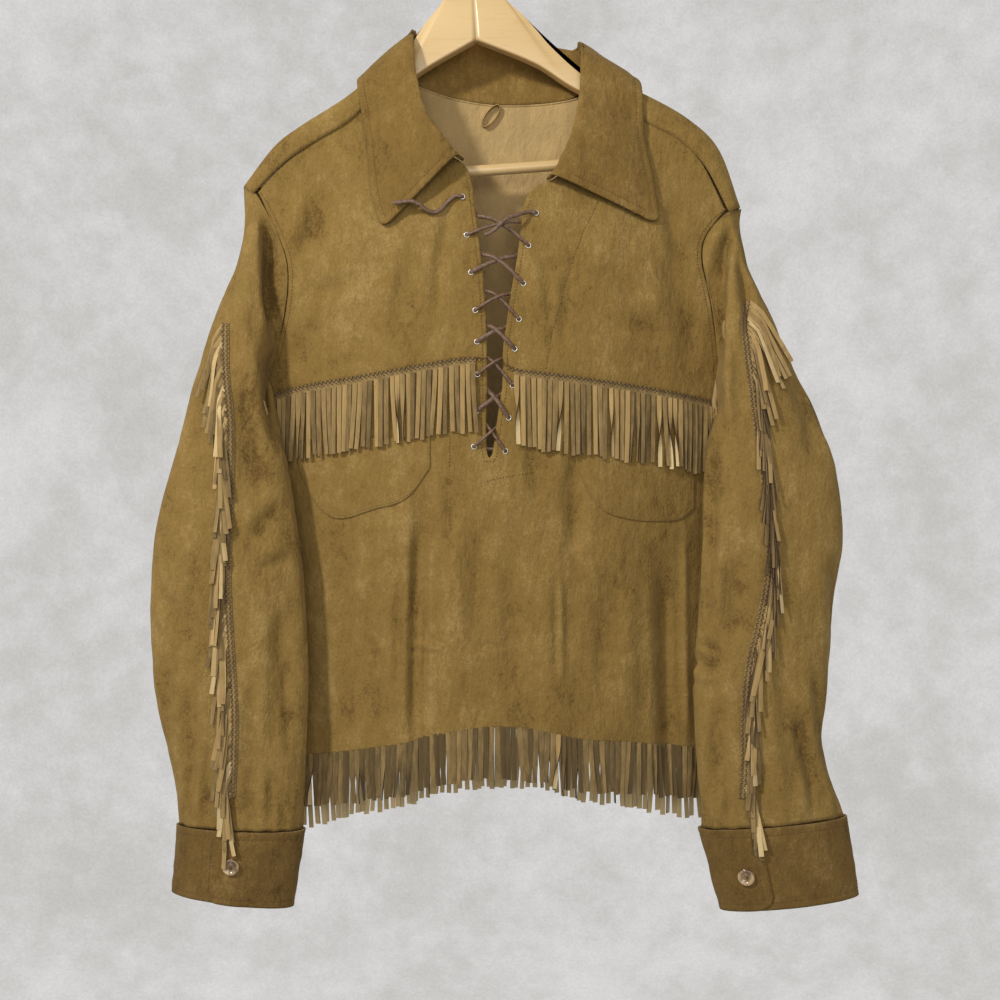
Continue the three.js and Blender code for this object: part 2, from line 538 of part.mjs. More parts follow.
function buildLowerFront() {
  const panel = wall(lowerFront, chestColumns, steps(12), { turn: -1 });
  const outline = new THREE.Shape(slitEnd.map(({ x, z }) => new THREE.Vector2(x, z)));
  const slit = new THREE.ExtrudeGeometry(outline, { depth: 80, bevelEnabled: false });
  slit.rotateX(Math.PI / 2);
  const holes = [...leftHoles.slice(YOKE_EYELETS), ...rightHoles.slice(YOKE_EYELETS)];
  return cut(panel, [slit, ...holes]);
}
add('front_lower', buildLowerFront(), suede);

// The back is one piece: from its lap on the front, over the hanger and down to the hem strip
const LAP_SHARE = 0.04;
const backRows = [
  0, LAP_SHARE / 2, LAP_SHARE, LAP_SHARE + 0.005, 0.07,
  ...steps(ARMHOLE_STEPS - 2, 0.11, 0.42), ...steps(8, 0.48, 1),
];
function back(u, v) {
  const top = (name) => column(backTop, name, u);
  const ridge = { x: top('x'), y: top('y'), z: top('z') };
  if (v <= LAP_SHARE) {
    const angle = (1 - v / LAP_SHARE) * Math.PI / 2;
    return vector(
      mix(ridge.x, top('lapX'), (1 - Math.cos(angle)) ** 1.2),
      mix(ridge.y, top('lapY'), Math.sin(angle) ** 0.6),
      mix(ridge.z, top('lapZ'), (1 - Math.cos(angle)) ** 1.2),
    );
  }
  const down = (v - LAP_SHARE) / (1 - LAP_SHARE);
  const first = backTop[0].x;
  const share = (ridge.x - first) / (backTop[backTop.length - 1].x - first);
  const foot = heightAt(hemLine, HEM.middle + (2 * share - 1) * HEM.half) - BACK_HEM_DROP + STRIP;
  const z = mix(ridge.z, foot, down);
  const side = (rows, sign) => {
    const f = clamp((rows[0].z - z) / (rows[0].z - ARMPIT_Z));
    const byArm = backArmX(rows, armShare(rows, z));
    return f < 1 ? byArm - sign * GAP : torsoMiddle(z) + sign * torsoHalf(z);
  };
  const x = mix(side(armholeLeft, -1), side(armholeRight, 1), share);
  return vector(x, backY(x, z, ridge.y, ridge.z), z);
}

// Where along an armhole a given height lies
function armShare(rows, z) {
  let low = 0;
  let high = 1;
  for (let i = 0; i < 30; i += 1) {
    const middle = (low + high) / 2;
    if (column(rows, 'z', middle) > z) low = middle;
    else high = middle;
  }
  return low;
}
add('back', wall(back, steps(21), backRows, { turn: 1 }), suede);

// A sleeve: t goes round from its outer edge over the front, a goes from armhole to cuff
function tubeAt(rows, t, a) {
  const at = (name) => column(rows, name, a);
  const angle = 2 * Math.PI * t;
  const half = { x: (at('outX') - at('inX')) / 2, z: (at('outZ') - at('inZ')) / 2 };
  const x = (at('outX') + at('inX')) / 2 + half.x * Math.cos(angle);
  const z = (at('outZ') + at('inZ')) / 2 + half.z * Math.cos(angle);
  return vector(x, at('y') - at('depth') * Math.sin(angle), z);
}
function sleeve(rows, armRows, outward) {
  return (t, a) => {
    const loop = armhole(armRows, t).addScaledVector(armholeNormal(t), WALL + GAP);
    loop.x += outward * (GAP + UNDERARM * ease(1.8 - 8 * Math.abs(t - 0.5)));
    loop.x += outward * HEAD_SHIFT * ease(1 - 9 * Math.min(t, 1 - t));
    loop.x += outward * BACK_SHIFT * Math.max(0, -Math.sin(2 * Math.PI * t));
    return loop.lerp(tubeAt(rows, t, a), ease(a / SLEEVE_HEAD));
  };
}
const leftSleeve = sleeve(sleeveLeft, armholeLeft, -1);
const rightSleeve = sleeve(sleeveRight, armholeRight, 1);
function buildSleeve(surface, turn) {
  const around = steps(2 * ARMHOLE_STEPS - 1, 0, 1 - 1 / (2 * ARMHOLE_STEPS));
  const lengthwise = steps(SLEEVE_STEPS).map((a) => a ** 1.15);
  const edgeNormal = (t, a) => (a === 0 ? armholeNormal(t) : null);
  return wall(surface, around, lengthwise, { closed: true, turn, edgeNormal });
}
add('sleeve_left', buildSleeve(leftSleeve, -1), suede);
add('sleeve_right', buildSleeve(rightSleeve, 1), suede);

// A cuff is a strip that goes once round the wrist and laps over itself beside its button
const cuffFace = (rows, end) => (t, v) => {
  const share = 1 - (t - end) / CUFF_LAP.turns;
  const middle = tubeAt(rows, t, v).lerp(tubeAt(rows, t + 0.5, v), 0.5);
  const out = tubeAt(rows, t, v).sub(middle).normalize();
  return tubeAt(rows, t, v).addScaledVector(out, CUFF_LAP.proud + CUFF_LAP.rise * share);
};
function cuff(rows, end, turn) {
  const surface = (u, v) => cuffFace(rows, end)(end + CUFF_LAP.turns * (1 - u), v);
  return wall(surface, steps(20), steps(3), { turn });
}
add('cuff_left', cuff(cuffLeft, CUFF_LAP.leftEnd, 1), suede);
add('cuff_right', cuff(cuffRight, CUFF_LAP.rightEnd, -1), suede);

// A button is a turned disc with a raised rim, which lies flat on the cuff's front
function buildButton(face, outward, x, z) {
  const { radius, thick } = BUTTON;
  const profile = [
    [0, 0], [radius * 0.7, 0], [radius, thick * 0.4], [radius * 0.95, thick * 0.85],
    [radius * 0.78, thick], [radius * 0.6, thick * 0.6], [0, thick * 0.6],
  ].map(([r, h]) => new THREE.Vector2(r, h));
  const geometry = new THREE.LatheGeometry(profile, 14);
  geometry.rotateX(Math.PI);
  const from = onSleeve(face, outward, x - radius, z);
  const to = onSleeve(face, outward, x + radius, z);
  const bulge = (from.y + to.y) / 2 - onSleeve(face, outward, x, z).y;
  geometry.translate(0, -GAP - Math.max(bulge, 0), 0);
  geometry.rotateZ(Math.atan2(to.y - from.y, to.x - from.x));
  geometry.translate(x, (from.y + to.y) / 2, z);
  return geometry;
}
const leftFace = cuffFace(cuffLeft, CUFF_LAP.leftEnd);
const rightFace = cuffFace(cuffRight, CUFF_LAP.rightEnd);
add('button_left', buildButton(leftFace, -1, BUTTON.leftX, BUTTON.leftZ), horn);
add('button_right', buildButton(rightFace, 1, BUTTON.rightX, BUTTON.rightZ), horn);

// Outer face of the back at a point of the view, found from the ridge above it
function backAt(x, z) {
  let low = 0;
  let high = 1;
  for (let i = 0; i < 30; i += 1) {
    const middle = (low + high) / 2;
    if (column(backTop, 'x', middle) < x) low = middle;
    else high = middle;
  }
  return backY(x, z, column(backTop, 'y', low), column(backTop, 'z', low));
}

// The collar stands up from the neck seam, rolls over and comes down as a leaf
function collar(u, v) {
  const at = (name) => column(collarStations, name, u);
  const lay = Math.sin(Math.min(Math.max(at('lay'), -1), 1) * Math.PI / 2);
  const corner = COLLAR.corner * Math.abs(lay) * (1 - Math.abs(lay));
  const away = COLLAR_WALL + COLLAR.standOff;
  const seamY = lay < 0 ? mix(0, frontY(at('seamX'), at('seamZ')) - 1, -lay)
    : mix(0, backAt(at('seamX'), at('seamZ') - 3) - WALL, lay);
  const edgeY = lay < 0 ? mix(0, frontY(at('edgeX'), at('edgeZ')) - away, -lay)
    : mix(0, backAt(at('edgeX'), at('edgeZ')) + away, lay);
  const seam = vector(at('seamX'), seamY, at('seamZ'));
  const roll = vector(at('rollX'), at('rollY'), at('rollZ'));
  const edge = vector(at('edgeX'), edgeY, at('edgeZ'));
  const out = vector(0, lay, 1 - Math.abs(lay)).normalize();
  if (v <= COLLAR.standShare) {
    const f = v / COLLAR.standShare;
    return seam.lerp(roll, f).addScaledVector(out, COLLAR.bulge * 0.4 * Math.sin(Math.PI * f) + corner * mix(0.4, 1, f));
  }
  const f = (v - COLLAR.standShare) / (1 - COLLAR.standShare);
  return roll.lerp(edge, f).addScaledVector(out, COLLAR.bulge * Math.sin(Math.PI * f ** 0.6) + corner);
}
const collarRows = [0, 0.15, 0.3, 0.37, 0.46, 0.6, 0.8, 1];
add('collar', wall(collar, steps(34), collarRows, { thick: COLLAR_WALL, turn: 1 }), suede);

// Pockets lie on the lower front: their points are the panel's own, moved out
function pocket({ left, right, top, lower }) {
  const depths = lower.map((z) => ({ z }));
  const surface = (u, v) => {
    const x = mix(left, right, u);
    const z = mix(top, column(depths, 'z', u), v);
    return vector(x, frontY(x, z) - PATCH - POCKET_GAP, z);
  };
  const columns = [0, 0.05, 0.13, 0.25, 0.4, 0.55, 0.7, 0.85, 0.94, 1];
  return wall(surface, columns, steps(5), { thick: PATCH, turn: -1 });
}
add('pocket_left', pocket(pocketLeft), suede);
add('pocket_right', pocket(pocketRight), suede);

// Fringe: a narrow strip whose lower edge is cut into strands, as one closed body.
// Each column of the strip has a top point, a root point and the direction that faces out.
// strand(k) gives the sections of strand k below its root, each with its own width direction.
function fringe(columns, strand, thick = STRAND_THICK) {
  const points = columns.flatMap(({ top, root, out }) => [
    top.clone(), top.clone().addScaledVector(out, -thick),
    root.clone(), root.clone().addScaledVector(out, -thick),
  ]);
  const faces = [];
  for (let k = 0; k < columns.length - 1; k += 1) {
    const [topOut, topIn, rootOut, rootIn] = [0, 1, 2, 3].map((i) => 4 * k + i);
    const [nextTopOut, nextTopIn, nextRootOut, nextRootIn] = [4, 5, 6, 7].map((i) => 4 * k + i);
    faces.push(...quad(rootOut, nextRootOut, nextTopOut, topOut));
    faces.push(...quad(nextRootIn, rootIn, topIn, nextTopIn));
    faces.push(...quad(topOut, nextTopOut, nextTopIn, topIn));
    let ring = [rootOut, nextRootOut, nextRootIn, rootIn];
    strand(k).forEach(({ centre, across, out }) => {
      const start = points.length;
      points.push(
        centre.clone().sub(across), centre.clone().add(across),
        centre.clone().add(across).addScaledVector(out, -thick),
        centre.clone().sub(across).addScaledVector(out, -thick),
      );
      const next = [start, start + 1, start + 2, start + 3];
      for (let side = 0; side < 4; side += 1) {
        const other = (side + 1) % 4;
        faces.push(...quad(next[side], next[other], ring[other], ring[side]));
      }
      ring = next;
    });
    faces.push(...quad(ring[0], ring[3], ring[2], ring[1]));
  }
  const last = 4 * (columns.length - 1);
  faces.push(...quad(3, 2, 0, 1), ...quad(last + 2, last + 3, last + 1, last));
  return solid(points, faces);
}

const FORWARD = vector(0, -1, 0);
const BACKWARD = vector(0, 1, 0);

// Strands that hang from a level strip; sway gives each its own lean, length and curl
function levelFringe({ from, to, count, rootZ, stripTop, faceY, out, size, sway }) {
  const columns = steps(count, from, to).map((x) => ({
    top: vector(x, faceY(x, stripTop(x)), stripTop(x)),
    root: vector(x, faceY(x, rootZ(x)), rootZ(x)),
    out,
  }));
  const strand = (k) => {
    const x = mix(from, to, (k + 0.5) / count);
    const lean = sway * Math.sin(k * 2.4);
    const length = size.length * (1 + 0.06 * Math.sin(k * 1.7));
    const section = (down) => {
      const z = rootZ(x) - down;
      const y = faceY(x, z) + out.y * (size.shingle || 0.03) * down;
      return {
        centre: vector(x + lean * (down / length) ** 1.5, y, z),
        across: vector(size.width / 2, 0, 0),
        out,
      };
    };
    return [section(7), section(length)];
  };
  return fringe(columns, strand);
}

const chestY = (x, z) => frontY(x, z) - STRAND_THICK - CHEST_FRINGE.base;
function chestFringe(from, to) {
  return levelFringe({
    from,
    to,
    count: CHEST_FRINGE.strands,
    rootZ: (x) => heightAt(chestSeam, x) - STRIP,
    stripTop: (x) => heightAt(chestSeam, x) - 1,
    faceY: chestY,
    out: FORWARD,
    size: CHEST_FRINGE,
    sway: 1.2,
  });
}
add('chest_fringe_left', chestFringe(-196, 2), fringeSuede);
add('chest_fringe_right', chestFringe(47, 240), fringeSuede);

const hemFrom = HEM.middle - HEM.half;
const hemTo = HEM.middle + HEM.half;
add('hem_fringe_front', levelFringe({
  from: hemFrom,
  to: hemTo,
  count: HEM_FRINGE.front,
  rootZ: (x) => heightAt(hemLine, x),
  stripTop: (x) => heightAt(hemLine, x) + STRIP - 2 * GAP,
  faceY: frontY,
  out: FORWARD,
  size: HEM_FRINGE,
  sway: 1.8,
}), fringeSuede);
add('hem_fringe_back', levelFringe({
  from: hemFrom,
  to: hemTo,
  count: HEM_FRINGE.back,
  rootZ: (x) => heightAt(hemLine, x) - BACK_HEM_DROP,
  stripTop: (x) => heightAt(hemLine, x) - BACK_HEM_DROP + STRIP - 2 * GAP,
  faceY: backAt,
  out: BACKWARD,
  size: HEM_FRINGE,
  sway: 1.8,
}), fringeSuede);

// The point on the front of a sleeve that shows at x and z
function onSleeve(surface, outward, x, z) {
  const across = (a) => {
    let low = 0;
    let high = 0.5;
    for (let i = 0; i < 18; i += 1) {
      const middle = (low + high) / 2;
      if ((surface(middle, a).x - x) * outward > 0) low = middle;
      else high = middle;
    }
    return low;
  };
  let low = 0;
  let high = 1;
  for (let i = 0; i < 18; i += 1) {
    const middle = (low + high) / 2;
    if (surface(across(middle), middle).z > z) low = middle;
    else high = middle;
  }
  return surface(across(low), low);
}

// Strands leave the seam towards the outside of the arm, turn down and lie over each other
function sleeveFringe(surface, rows, outward) {
  const { strands, width, length, strip, shingle, base } = SLEEVE_FRINGE;
  const place = (x, z, down) => {
    const y = onSleeve(surface, outward, x, z).y;
    return vector(x, y - STRAND_THICK - base - shingle * down, z);
  };
  const line = along(rows);
  const columns = steps(strands).map((f) => {
    const { x, z } = line(f);
    return { top: place(x - outward * strip / 2, z, 0), root: place(x + outward * strip / 2, z, 0), out: FORWARD };
  });
  const strand = (k) => {
    const { x, z } = line((k + 0.5) / strands);
    const lean = 3 + 5 * Math.sin(k * 2.1);
    const reach = length * (1 + 0.08 * Math.sin(k * 1.3));
    const sections = [
      { side: 3.5, down: 7, turn: Math.PI / 4 },
      { side: 5, down: 24, turn: Math.PI / 2 },
      { side: 4 + lean, down: reach, turn: Math.PI / 2 },
    ];
    return sections.map(({ side, down, turn }) => ({
      centre: place(x + outward * (strip / 2 + side), z - down, down),
      across: vector(-outward * Math.sin(turn), 0, -Math.cos(turn)).multiplyScalar(width / 2),
      out: FORWARD,
    }));
  };
  return fringe(columns, strand);
}
add('sleeve_fringe_left', sleeveFringe(leftSleeve, sleeveSeamLeft, -1), fringeSuede);
add('sleeve_fringe_right', sleeveFringe(rightSleeve, sleeveSeamRight, 1), fringeSuede);

// A round cord along straight stretches, with a mitre at each corner
function mitredCord(path, radius, sides) {
  const first = path[1].clone().sub(path[0]).normalize();
  const helper = Math.abs(first.z) < 0.9 ? vector(0, 0, 1) : vector(1, 0, 0);
  const one = first.clone().cross(helper).normalize();
  const two = first.clone().cross(one);
  let offsets = steps(sides - 1, 0, 1 - 1 / sides).map((f) => {
    const angle = 2 * Math.PI * f;
    return one.clone().multiplyScalar(radius * Math.cos(angle)).addScaledVector(two, radius * Math.sin(angle));
  });
  const points = [];
  path.forEach((point, i) => {
    const before = (i > 0 ? point.clone().sub(path[i - 1]) : first.clone()).normalize();
    const after = (i < path.length - 1 ? path[i + 1].clone().sub(point) : before.clone()).normalize();
    const mitre = before.clone().add(after).normalize();
    offsets.forEach((offset) => {
      const slide = offset.dot(mitre) / before.dot(mitre);
      points.push(point.clone().add(offset).addScaledVector(before, -slide));
    });
    offsets = offsets.map((offset) => offset.clone().addScaledVector(mitre, -2 * offset.dot(mitre)));
  });
  const faces = [];
  for (let i = 0; i < path.length - 1; i += 1) {
    for (let k = 0; k < sides; k += 1) {
      const next = (k + 1) % sides;
      faces.push(...quad(i * sides + k, i * sides + next, (i + 1) * sides + next, (i + 1) * sides + k));
    }
  }
  const end = (path.length - 1) * sides;
  for (let k = 1; k < sides - 1; k += 1) {
    faces.push([0, k + 1, k], [end, end + k, end + k + 1]);
  }
  return solid(points, faces);
}

// The x of the slit's edge at a height, on the left (-1) or right (1) side
function slitEdge(side, z) {
  const upper = (side < 0 ? slitLeft : slitRight).slice(0, 7);
  const lower = side < 0 ? slitEnd.slice(1, 5) : slitEnd.slice(5, 9).reverse();
  const rows = [...lower.reverse(), ...upper];
  const i = Math.min(Math.max(rows.findIndex((row) => row.z > z), 1), rows.length - 1);
  return mix(rows[i - 1].x, rows[i].x, (z - rows[i - 1].z) / (rows[i].z - rows[i - 1].z));
}

const eyeletAt = (side, k) => {
  const row = eyelets[k];
  return side < 0 ? { x: row.leftX, z: row.leftZ } : { x: row.rightX, z: row.rightZ };
};
const offFront = ({ x, z }, out) => vector(x, frontY(x, z) - out, z);

// One half of the lace, from behind a bottom eyelet up to the mouth of a top one.
// It comes out of each eyelet, crosses the slit, and goes behind the far edge to the next.
function laceHalf(start, over) {
  const path = [];
  let side = start;
  for (let k = eyelets.length - 1; k > 0; k -= 1) {
    const here = eyeletAt(side, k);
    const next = eyeletAt(-side, k - 1);
    const middleZ = mix(here.z, next.z, 0.5);
    const middleX = (slitEdge(-1, middleZ) + slitEdge(1, middleZ)) / 2;
    const passZ = mix(here.z, next.z, 0.6);
    const passX = slitEdge(-side, passZ) + side * LACE.edge;
    path.push(offFront(here, -LACE.behind), offFront(here, LACE.front));
    path.push(offFront({ x: middleX, z: middleZ }, LACE.front + over));
    path.push(offFront({ x: passX, z: passZ }, LACE.dip), offFront({ x: passX, z: passZ }, -LACE.under));
    side = -side;
  }
  const top = eyeletAt(side, 0);
  path.push(offFront(top, -LACE.behind), offFront(top, LACE.front));
  path.push(offFront({ x: top.x - LACE.tail, z: top.z }, LACE.front));
  return path;
}
const lacePath = [...laceHalf(-1, LACE.over).reverse(), ...laceHalf(1, 0)];
add('lace', mitredCord(lacePath, LACE.radius, LACE.sides), laceLeather);

// Each free end follows a smooth curve over the yoke, the collar and the slit
function laceEnd(rows) {
  const path = new THREE.CatmullRomCurve3(rows.map(({ x, z, out }) => offFront({ x, z }, out)));
  const corners = steps(7, 0, 7 / 8).map((f) => new THREE.Vector2(
    LACE.radius * Math.cos(2 * Math.PI * f),
    LACE.radius * Math.sin(2 * Math.PI * f),
  ));
  return new THREE.ExtrudeGeometry(new THREE.Shape(corners), { steps: 18, extrudePath: path });
}
add('lace_end_left', laceEnd(laceEndLeft), laceLeather);
add('lace_end_right', laceEnd(laceEndRight), laceLeather);

// A flat ring round the mouth of each eyelet hole
function eyeletRing({ x, z }) {
  const { hole, outer, thick, proud, sides } = EYELET;
  const corners = [[hole, 0], [outer, 0], [outer, thick], [hole, thick], [hole, 0]];
  const ring = new THREE.LatheGeometry(corners.map(([r, h]) => new THREE.Vector2(r, h)), sides);
  ring.translate(x, frontY(x, z) - proud - thick, z);
  return ring;
}
eyelets.forEach((row, k) => {
  add(`eyelet_left_${k + 1}`, eyeletRing(eyeletAt(-1, k)), steel);
  add(`eyelet_right_${k + 1}`, eyeletRing(eyeletAt(1, k)), steel);
});

// The hanging loop is a short flat ring against the inside of the back
function hangingLoop(t, v) {
  const angle = 2 * Math.PI * t;
  const far = LOOP.long * Math.cos(angle);
  const near = LOOP.short * Math.sin(angle);
  const x = LOOP.x + far * Math.cos(LOOP.tilt) - near * Math.sin(LOOP.tilt);
  const z = LOOP.z + far * Math.sin(LOOP.tilt) + near * Math.cos(LOOP.tilt);
  return vector(x, backAt(x, z) - WALL - GAP - 0.4 - LOOP.width * v, z);
}
const loopTurns = steps(15, 0, 15 / 16);
add('hanging_loop', wall(hangingLoop, loopTurns, [0, 1], { thick: LOOP.thick, closed: true }), suede);

// The hanger, built level and then tilted with its left end down
const hanger = new THREE.Group();
hanger.rotation.y = -HANGER_TILT;
jacket.add(hanger);

function buildArm(side) {
  const rows = [...armTop, ...armLower];
  const outline = new THREE.Shape(rows.map(({ x, z }) => new THREE.Vector2(x * side, z)));
  const arm = new THREE.ExtrudeGeometry(outline, {
    depth: HANGER_THICK - 2 * HANGER_ROUND,
    bevelThickness: HANGER_ROUND,
    bevelSize: HANGER_ROUND,
    bevelOffset: -HANGER_ROUND,
    bevelSegments: 1,
  });
  arm.rotateX(Math.PI / 2);
  arm.translate(0, HANGER_THICK / 2 - HANGER_ROUND, 0);
  return arm;
}
add('hanger_arm_left', buildArm(-1), wood, hanger);
add('hanger_arm_right', buildArm(1), wood, hanger);

const bar = new THREE.CylinderGeometry(BAR.radius, BAR.radius, 2 * BAR.half, 12);
bar.rotateZ(Math.PI / 2);
const barMesh = add('trouser_bar', bar, wood, hanger);
barMesh.position.z = BAR.z;

function buildHook() {
  const middle = HOOK.wire - HOOK.bend;
  const arc = steps(9, -60, 205).map((degrees) => {
    const angle = THREE.MathUtils.degToRad(degrees);
    return vector(HOOK.bend * Math.cos(angle), 0, middle + HOOK.bend * Math.sin(angle));
  });
  const path = new THREE.CatmullRomCurve3([vector(0, 0, HOOK.foot), vector(1.2, 0, HOOK.foot + 3), ...arc]);
  const corners = steps(HOOK.sides - 1, 0, 1 - 1 / HOOK.sides).map((f) => new THREE.Vector2(
    HOOK.wire * Math.cos(2 * Math.PI * f),
    HOOK.wire * Math.sin(2 * Math.PI * f),
  ));
  return new THREE.ExtrudeGeometry(new THREE.Shape(corners), { steps: HOOK.steps, extrudePath: path });
}
add('hanger_hook', buildHook(), steel, hanger);

export default jacket;
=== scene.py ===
"""A fringed suede pullover jacket on a wooden hanger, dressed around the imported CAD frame.

The sizes here are in millimetres, as on a maker's pattern, and go into the meshes in metres.
+Z is up, the front of the jacket faces -Y, and the origin is the inside top of the hanger's hook.
Every cloth surface is worked out on a grid of two parameters and then given its thickness.
"""

import math

import bpy
import numpy as np
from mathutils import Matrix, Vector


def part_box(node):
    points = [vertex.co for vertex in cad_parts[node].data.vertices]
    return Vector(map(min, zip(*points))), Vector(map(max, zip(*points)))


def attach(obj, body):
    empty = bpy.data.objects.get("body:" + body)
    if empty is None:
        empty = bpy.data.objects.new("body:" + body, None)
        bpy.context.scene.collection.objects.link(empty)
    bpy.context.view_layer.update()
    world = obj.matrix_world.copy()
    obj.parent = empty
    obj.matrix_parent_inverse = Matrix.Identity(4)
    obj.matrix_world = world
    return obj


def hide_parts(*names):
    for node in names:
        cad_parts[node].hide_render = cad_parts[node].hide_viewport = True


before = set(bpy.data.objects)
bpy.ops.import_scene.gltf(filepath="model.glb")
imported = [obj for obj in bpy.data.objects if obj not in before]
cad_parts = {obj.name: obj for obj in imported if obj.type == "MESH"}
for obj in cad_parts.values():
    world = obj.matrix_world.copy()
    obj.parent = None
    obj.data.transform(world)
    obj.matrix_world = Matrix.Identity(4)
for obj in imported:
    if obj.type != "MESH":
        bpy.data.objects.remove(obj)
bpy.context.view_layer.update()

# ---- sizes of the cut, the same as in the part's source ----

MM = 0.001
# How strongly the creases of the tables below are pressed in, and the height and place of their lip
CREASE_DEPTH, LIP_SHARE, LIP_PLACE = 2.3, 0.45, 1.7
WALL = 1.6
GAP = 0.3
STRAND_THICK = 1.1
COLLAR_WALL = 2.6

ARMPIT_Z = -455
HEM_Z = -800
CHEST_MIDDLE, CHEST_HALF = 22, 224
HEM_MIDDLE, HEM_HALF = 31, 209
LENS_POWER = 2.4
FRONT_SIDE_Y, BACK_SIDE_Y = 13, 17
SHOULDER_REST = 11
FRONT_DEPTH_TOP = -230
BACK_HEM_DROP = 12


def table(*rows):
    """Rows of a size table as an array, one column for each name in the comment above it."""
    return np.array(rows, dtype=float)


# middle, edge
FRONT_DEPTH = table((33, 9), (38, 7), (39, -6), (39, -13), (38, -13), (37, -13), (36, -13))
BACK_DEPTH = table((38, 11), (42, 12), (45, 15), (45, 17), (44, 17), (42, 17), (40, 17))

# x, top, bottom, width, depth
FRONT_FOLDS = table(
    (-39, -535, -812, 11, 7), (-14, -560, -800, 16, -4), (92, -520, -700, 13, 4),
    (84, -580, -800, 17, -4), (190, -575, -830, 18, 5), (-140, -575, -810, 19, 4),
)
BACK_FOLDS = table(
    (-95, -260, -800, 26, 6), (28, -330, -810, 22, 5), (74, -420, -800, 18, -5),
    (140, -270, -800, 26, 6),
)

# x, z
CHEST_SEAM = table(
    (-206, -457), (-165, -447), (-124, -441), (-83, -435), (-42, -428), (0, -422), (24, -424),
    (48, -433), (90, -438), (130, -443), (170, -448), (210, -454), (250, -461),
)
HEM_LINE = table(
    (-190, -809), (-147, -805), (-104, -797), (-61, -789), (-18, -777), (25, -772), (68, -775),
    (111, -785), (154, -789), (197, -796), (245, -801),
)
ARMHOLE_LEFT = table(
    (-219, -251), (-204, -262), (-193, -281), (-182, -304), (-175, -326), (-174, -348),
    (-177, -371), (-182, -393), (-188, -415), (-195, -436), (-202, -455),
)
ARMHOLE_RIGHT = table(
    (266, -273), (250, -279), (237, -291), (228, -307), (227, -326), (232, -347),
    (237, -369), (241, -392), (244, -415), (245, -437), (246, -457),
)
SLIT_LEFT = table(
    (18.7, -423), (18.3, -398), (16.8, -370), (14.6, -340), (11, -308), (7.4, -278), (3, -248),
    (-6, -233), (-27, -221), (-48, -201), (-65, -172), (-74, -136),
)
SLIT_RIGHT = table(
    (33.8, -429), (34, -412), (37.6, -386), (41.6, -358), (46.6, -330), (50.4, -303),
    (54.6, -272), (66, -256), (84, -248), (106, -226), (121, -192), (130, -152),
)
# z, left x, right x: the end of the slit in the lower front
SLIT_END = table(
    (-516, 20.2, 21.8), (-513, 18.8, 23.6), (-508, 18.2, 24.6), (-498, 18, 26), (-485, 17.9, 27.6),
    (-467, 18.2, 30.2), (-450, 18.6, 33), (-435, 18.7, 33.6), (-421, 18.7, 33.9),
)

# x, y, z, lapX, lapY, lapZ: where the back passes over the hanger, and its edge on the front
BACK_TOP = table(
    (-219, 0, -250, -208, -11, -259), (-190, 0, -212, -178, -11.5, -229),
    (-165, 0, -192, -154, -11.5, -212), (-121, 0, -164, -108, -11, -182),
    (-79, 0, -131, -77, -7, -136), (-70, 10.5, -133, -70, 10, -132.6),
    (-57, 16, -142, -57, 15, -141.6), (-40, 21, -149, -40, 20, -148.6),
    (-11, 27, -156, -11, 26, -155.6), (26, 29, -161, 26, 28, -160.6),
    (67, 27, -161, 67, 26, -160.6), (98, 21, -159, 98, 20, -158.6),
    (114, 16, -155, 114, 15, -154.6), (127, 10.5, -149, 127, 10, -148.6),
    (137, 0, -146, 134, -7, -152), (178, 0, -163, 168, -11, -186),
    (217, 0, -186, 203, -11.5, -206), (245, 0, -215, 229, -11.5, -231),
    (265.4, 0, -270.6, 253.4, -11, -277.2),
)
SHOULDER_LEFT = table((-208, -259), (-178, -229), (-154, -212), (-108, -182), (-74, -136))
SHOULDER_RIGHT = table((254, -278), (229, -231), (203, -206), (168, -186), (130, -152))

# outX, outZ, inX, inZ, y, depth
SLEEVE_LEFT = table(
    (-219, -252, -202, -455, 2, 12), (-217, -296, -199, -464, -10, 17),
    (-221, -324, -189, -475, -18, 20), (-236, -364, -178, -490, -20, 22),
    (-252, -412, -173, -512, -24, 23), (-272, -490, -166, -560, -27, 23),
    (-293, -562, -159, -612, -28, 23), (-301, -632, -155, -662, -28, 23),
    (-301, -700, -152, -713, -28, 23), (-293, -760, -153, -768, -28, 23),
    (-279, -818, -156, -824, -28, 22), (-275, -864, -158, -869, -28, 21),
)
SLEEVE_RIGHT = table(
    (266, -274, 246, -457, 2, 12), (261, -305, 244, -468, -10, 16),
    (270, -334, 235, -484, -18, 19), (290, -376, 228, -508, -20, 22),
    (308, -420, 225, -540, -24, 23), (333, -472, 224, -582, -27, 23),
    (352, -530, 222, -630, -28, 23), (358, -590, 220, -674, -28, 23),
    (350, -655, 217, -722, -28, 23), (343, -728, 218, -770, -28, 23),
    (341, -790, 221, -818, -28, 22), (359, -856, 224, -868, -28, 21),
)
CUFF_LEFT = table((-277, -865, -157, -870, -28, 22), (-281, -929, -168, -943, -28, 21))
CUFF_RIGHT = table((361, -857, 223, -869, -28, 22), (373, -932, 243, -946, -28, 21))
SLEEVE_HEAD = 0.22
HEAD_SHIFT = 0.6
BACK_SHIFT = 2
BACK_ARMHOLE = 0.6
TUCK_BEHIND = 8
LAP_LEFT_END, LAP_RIGHT_END, LAP_TURNS, LAP_RISE, LAP_PROUD = 0.18, 0.29, 1.1, 2.2, 0.6

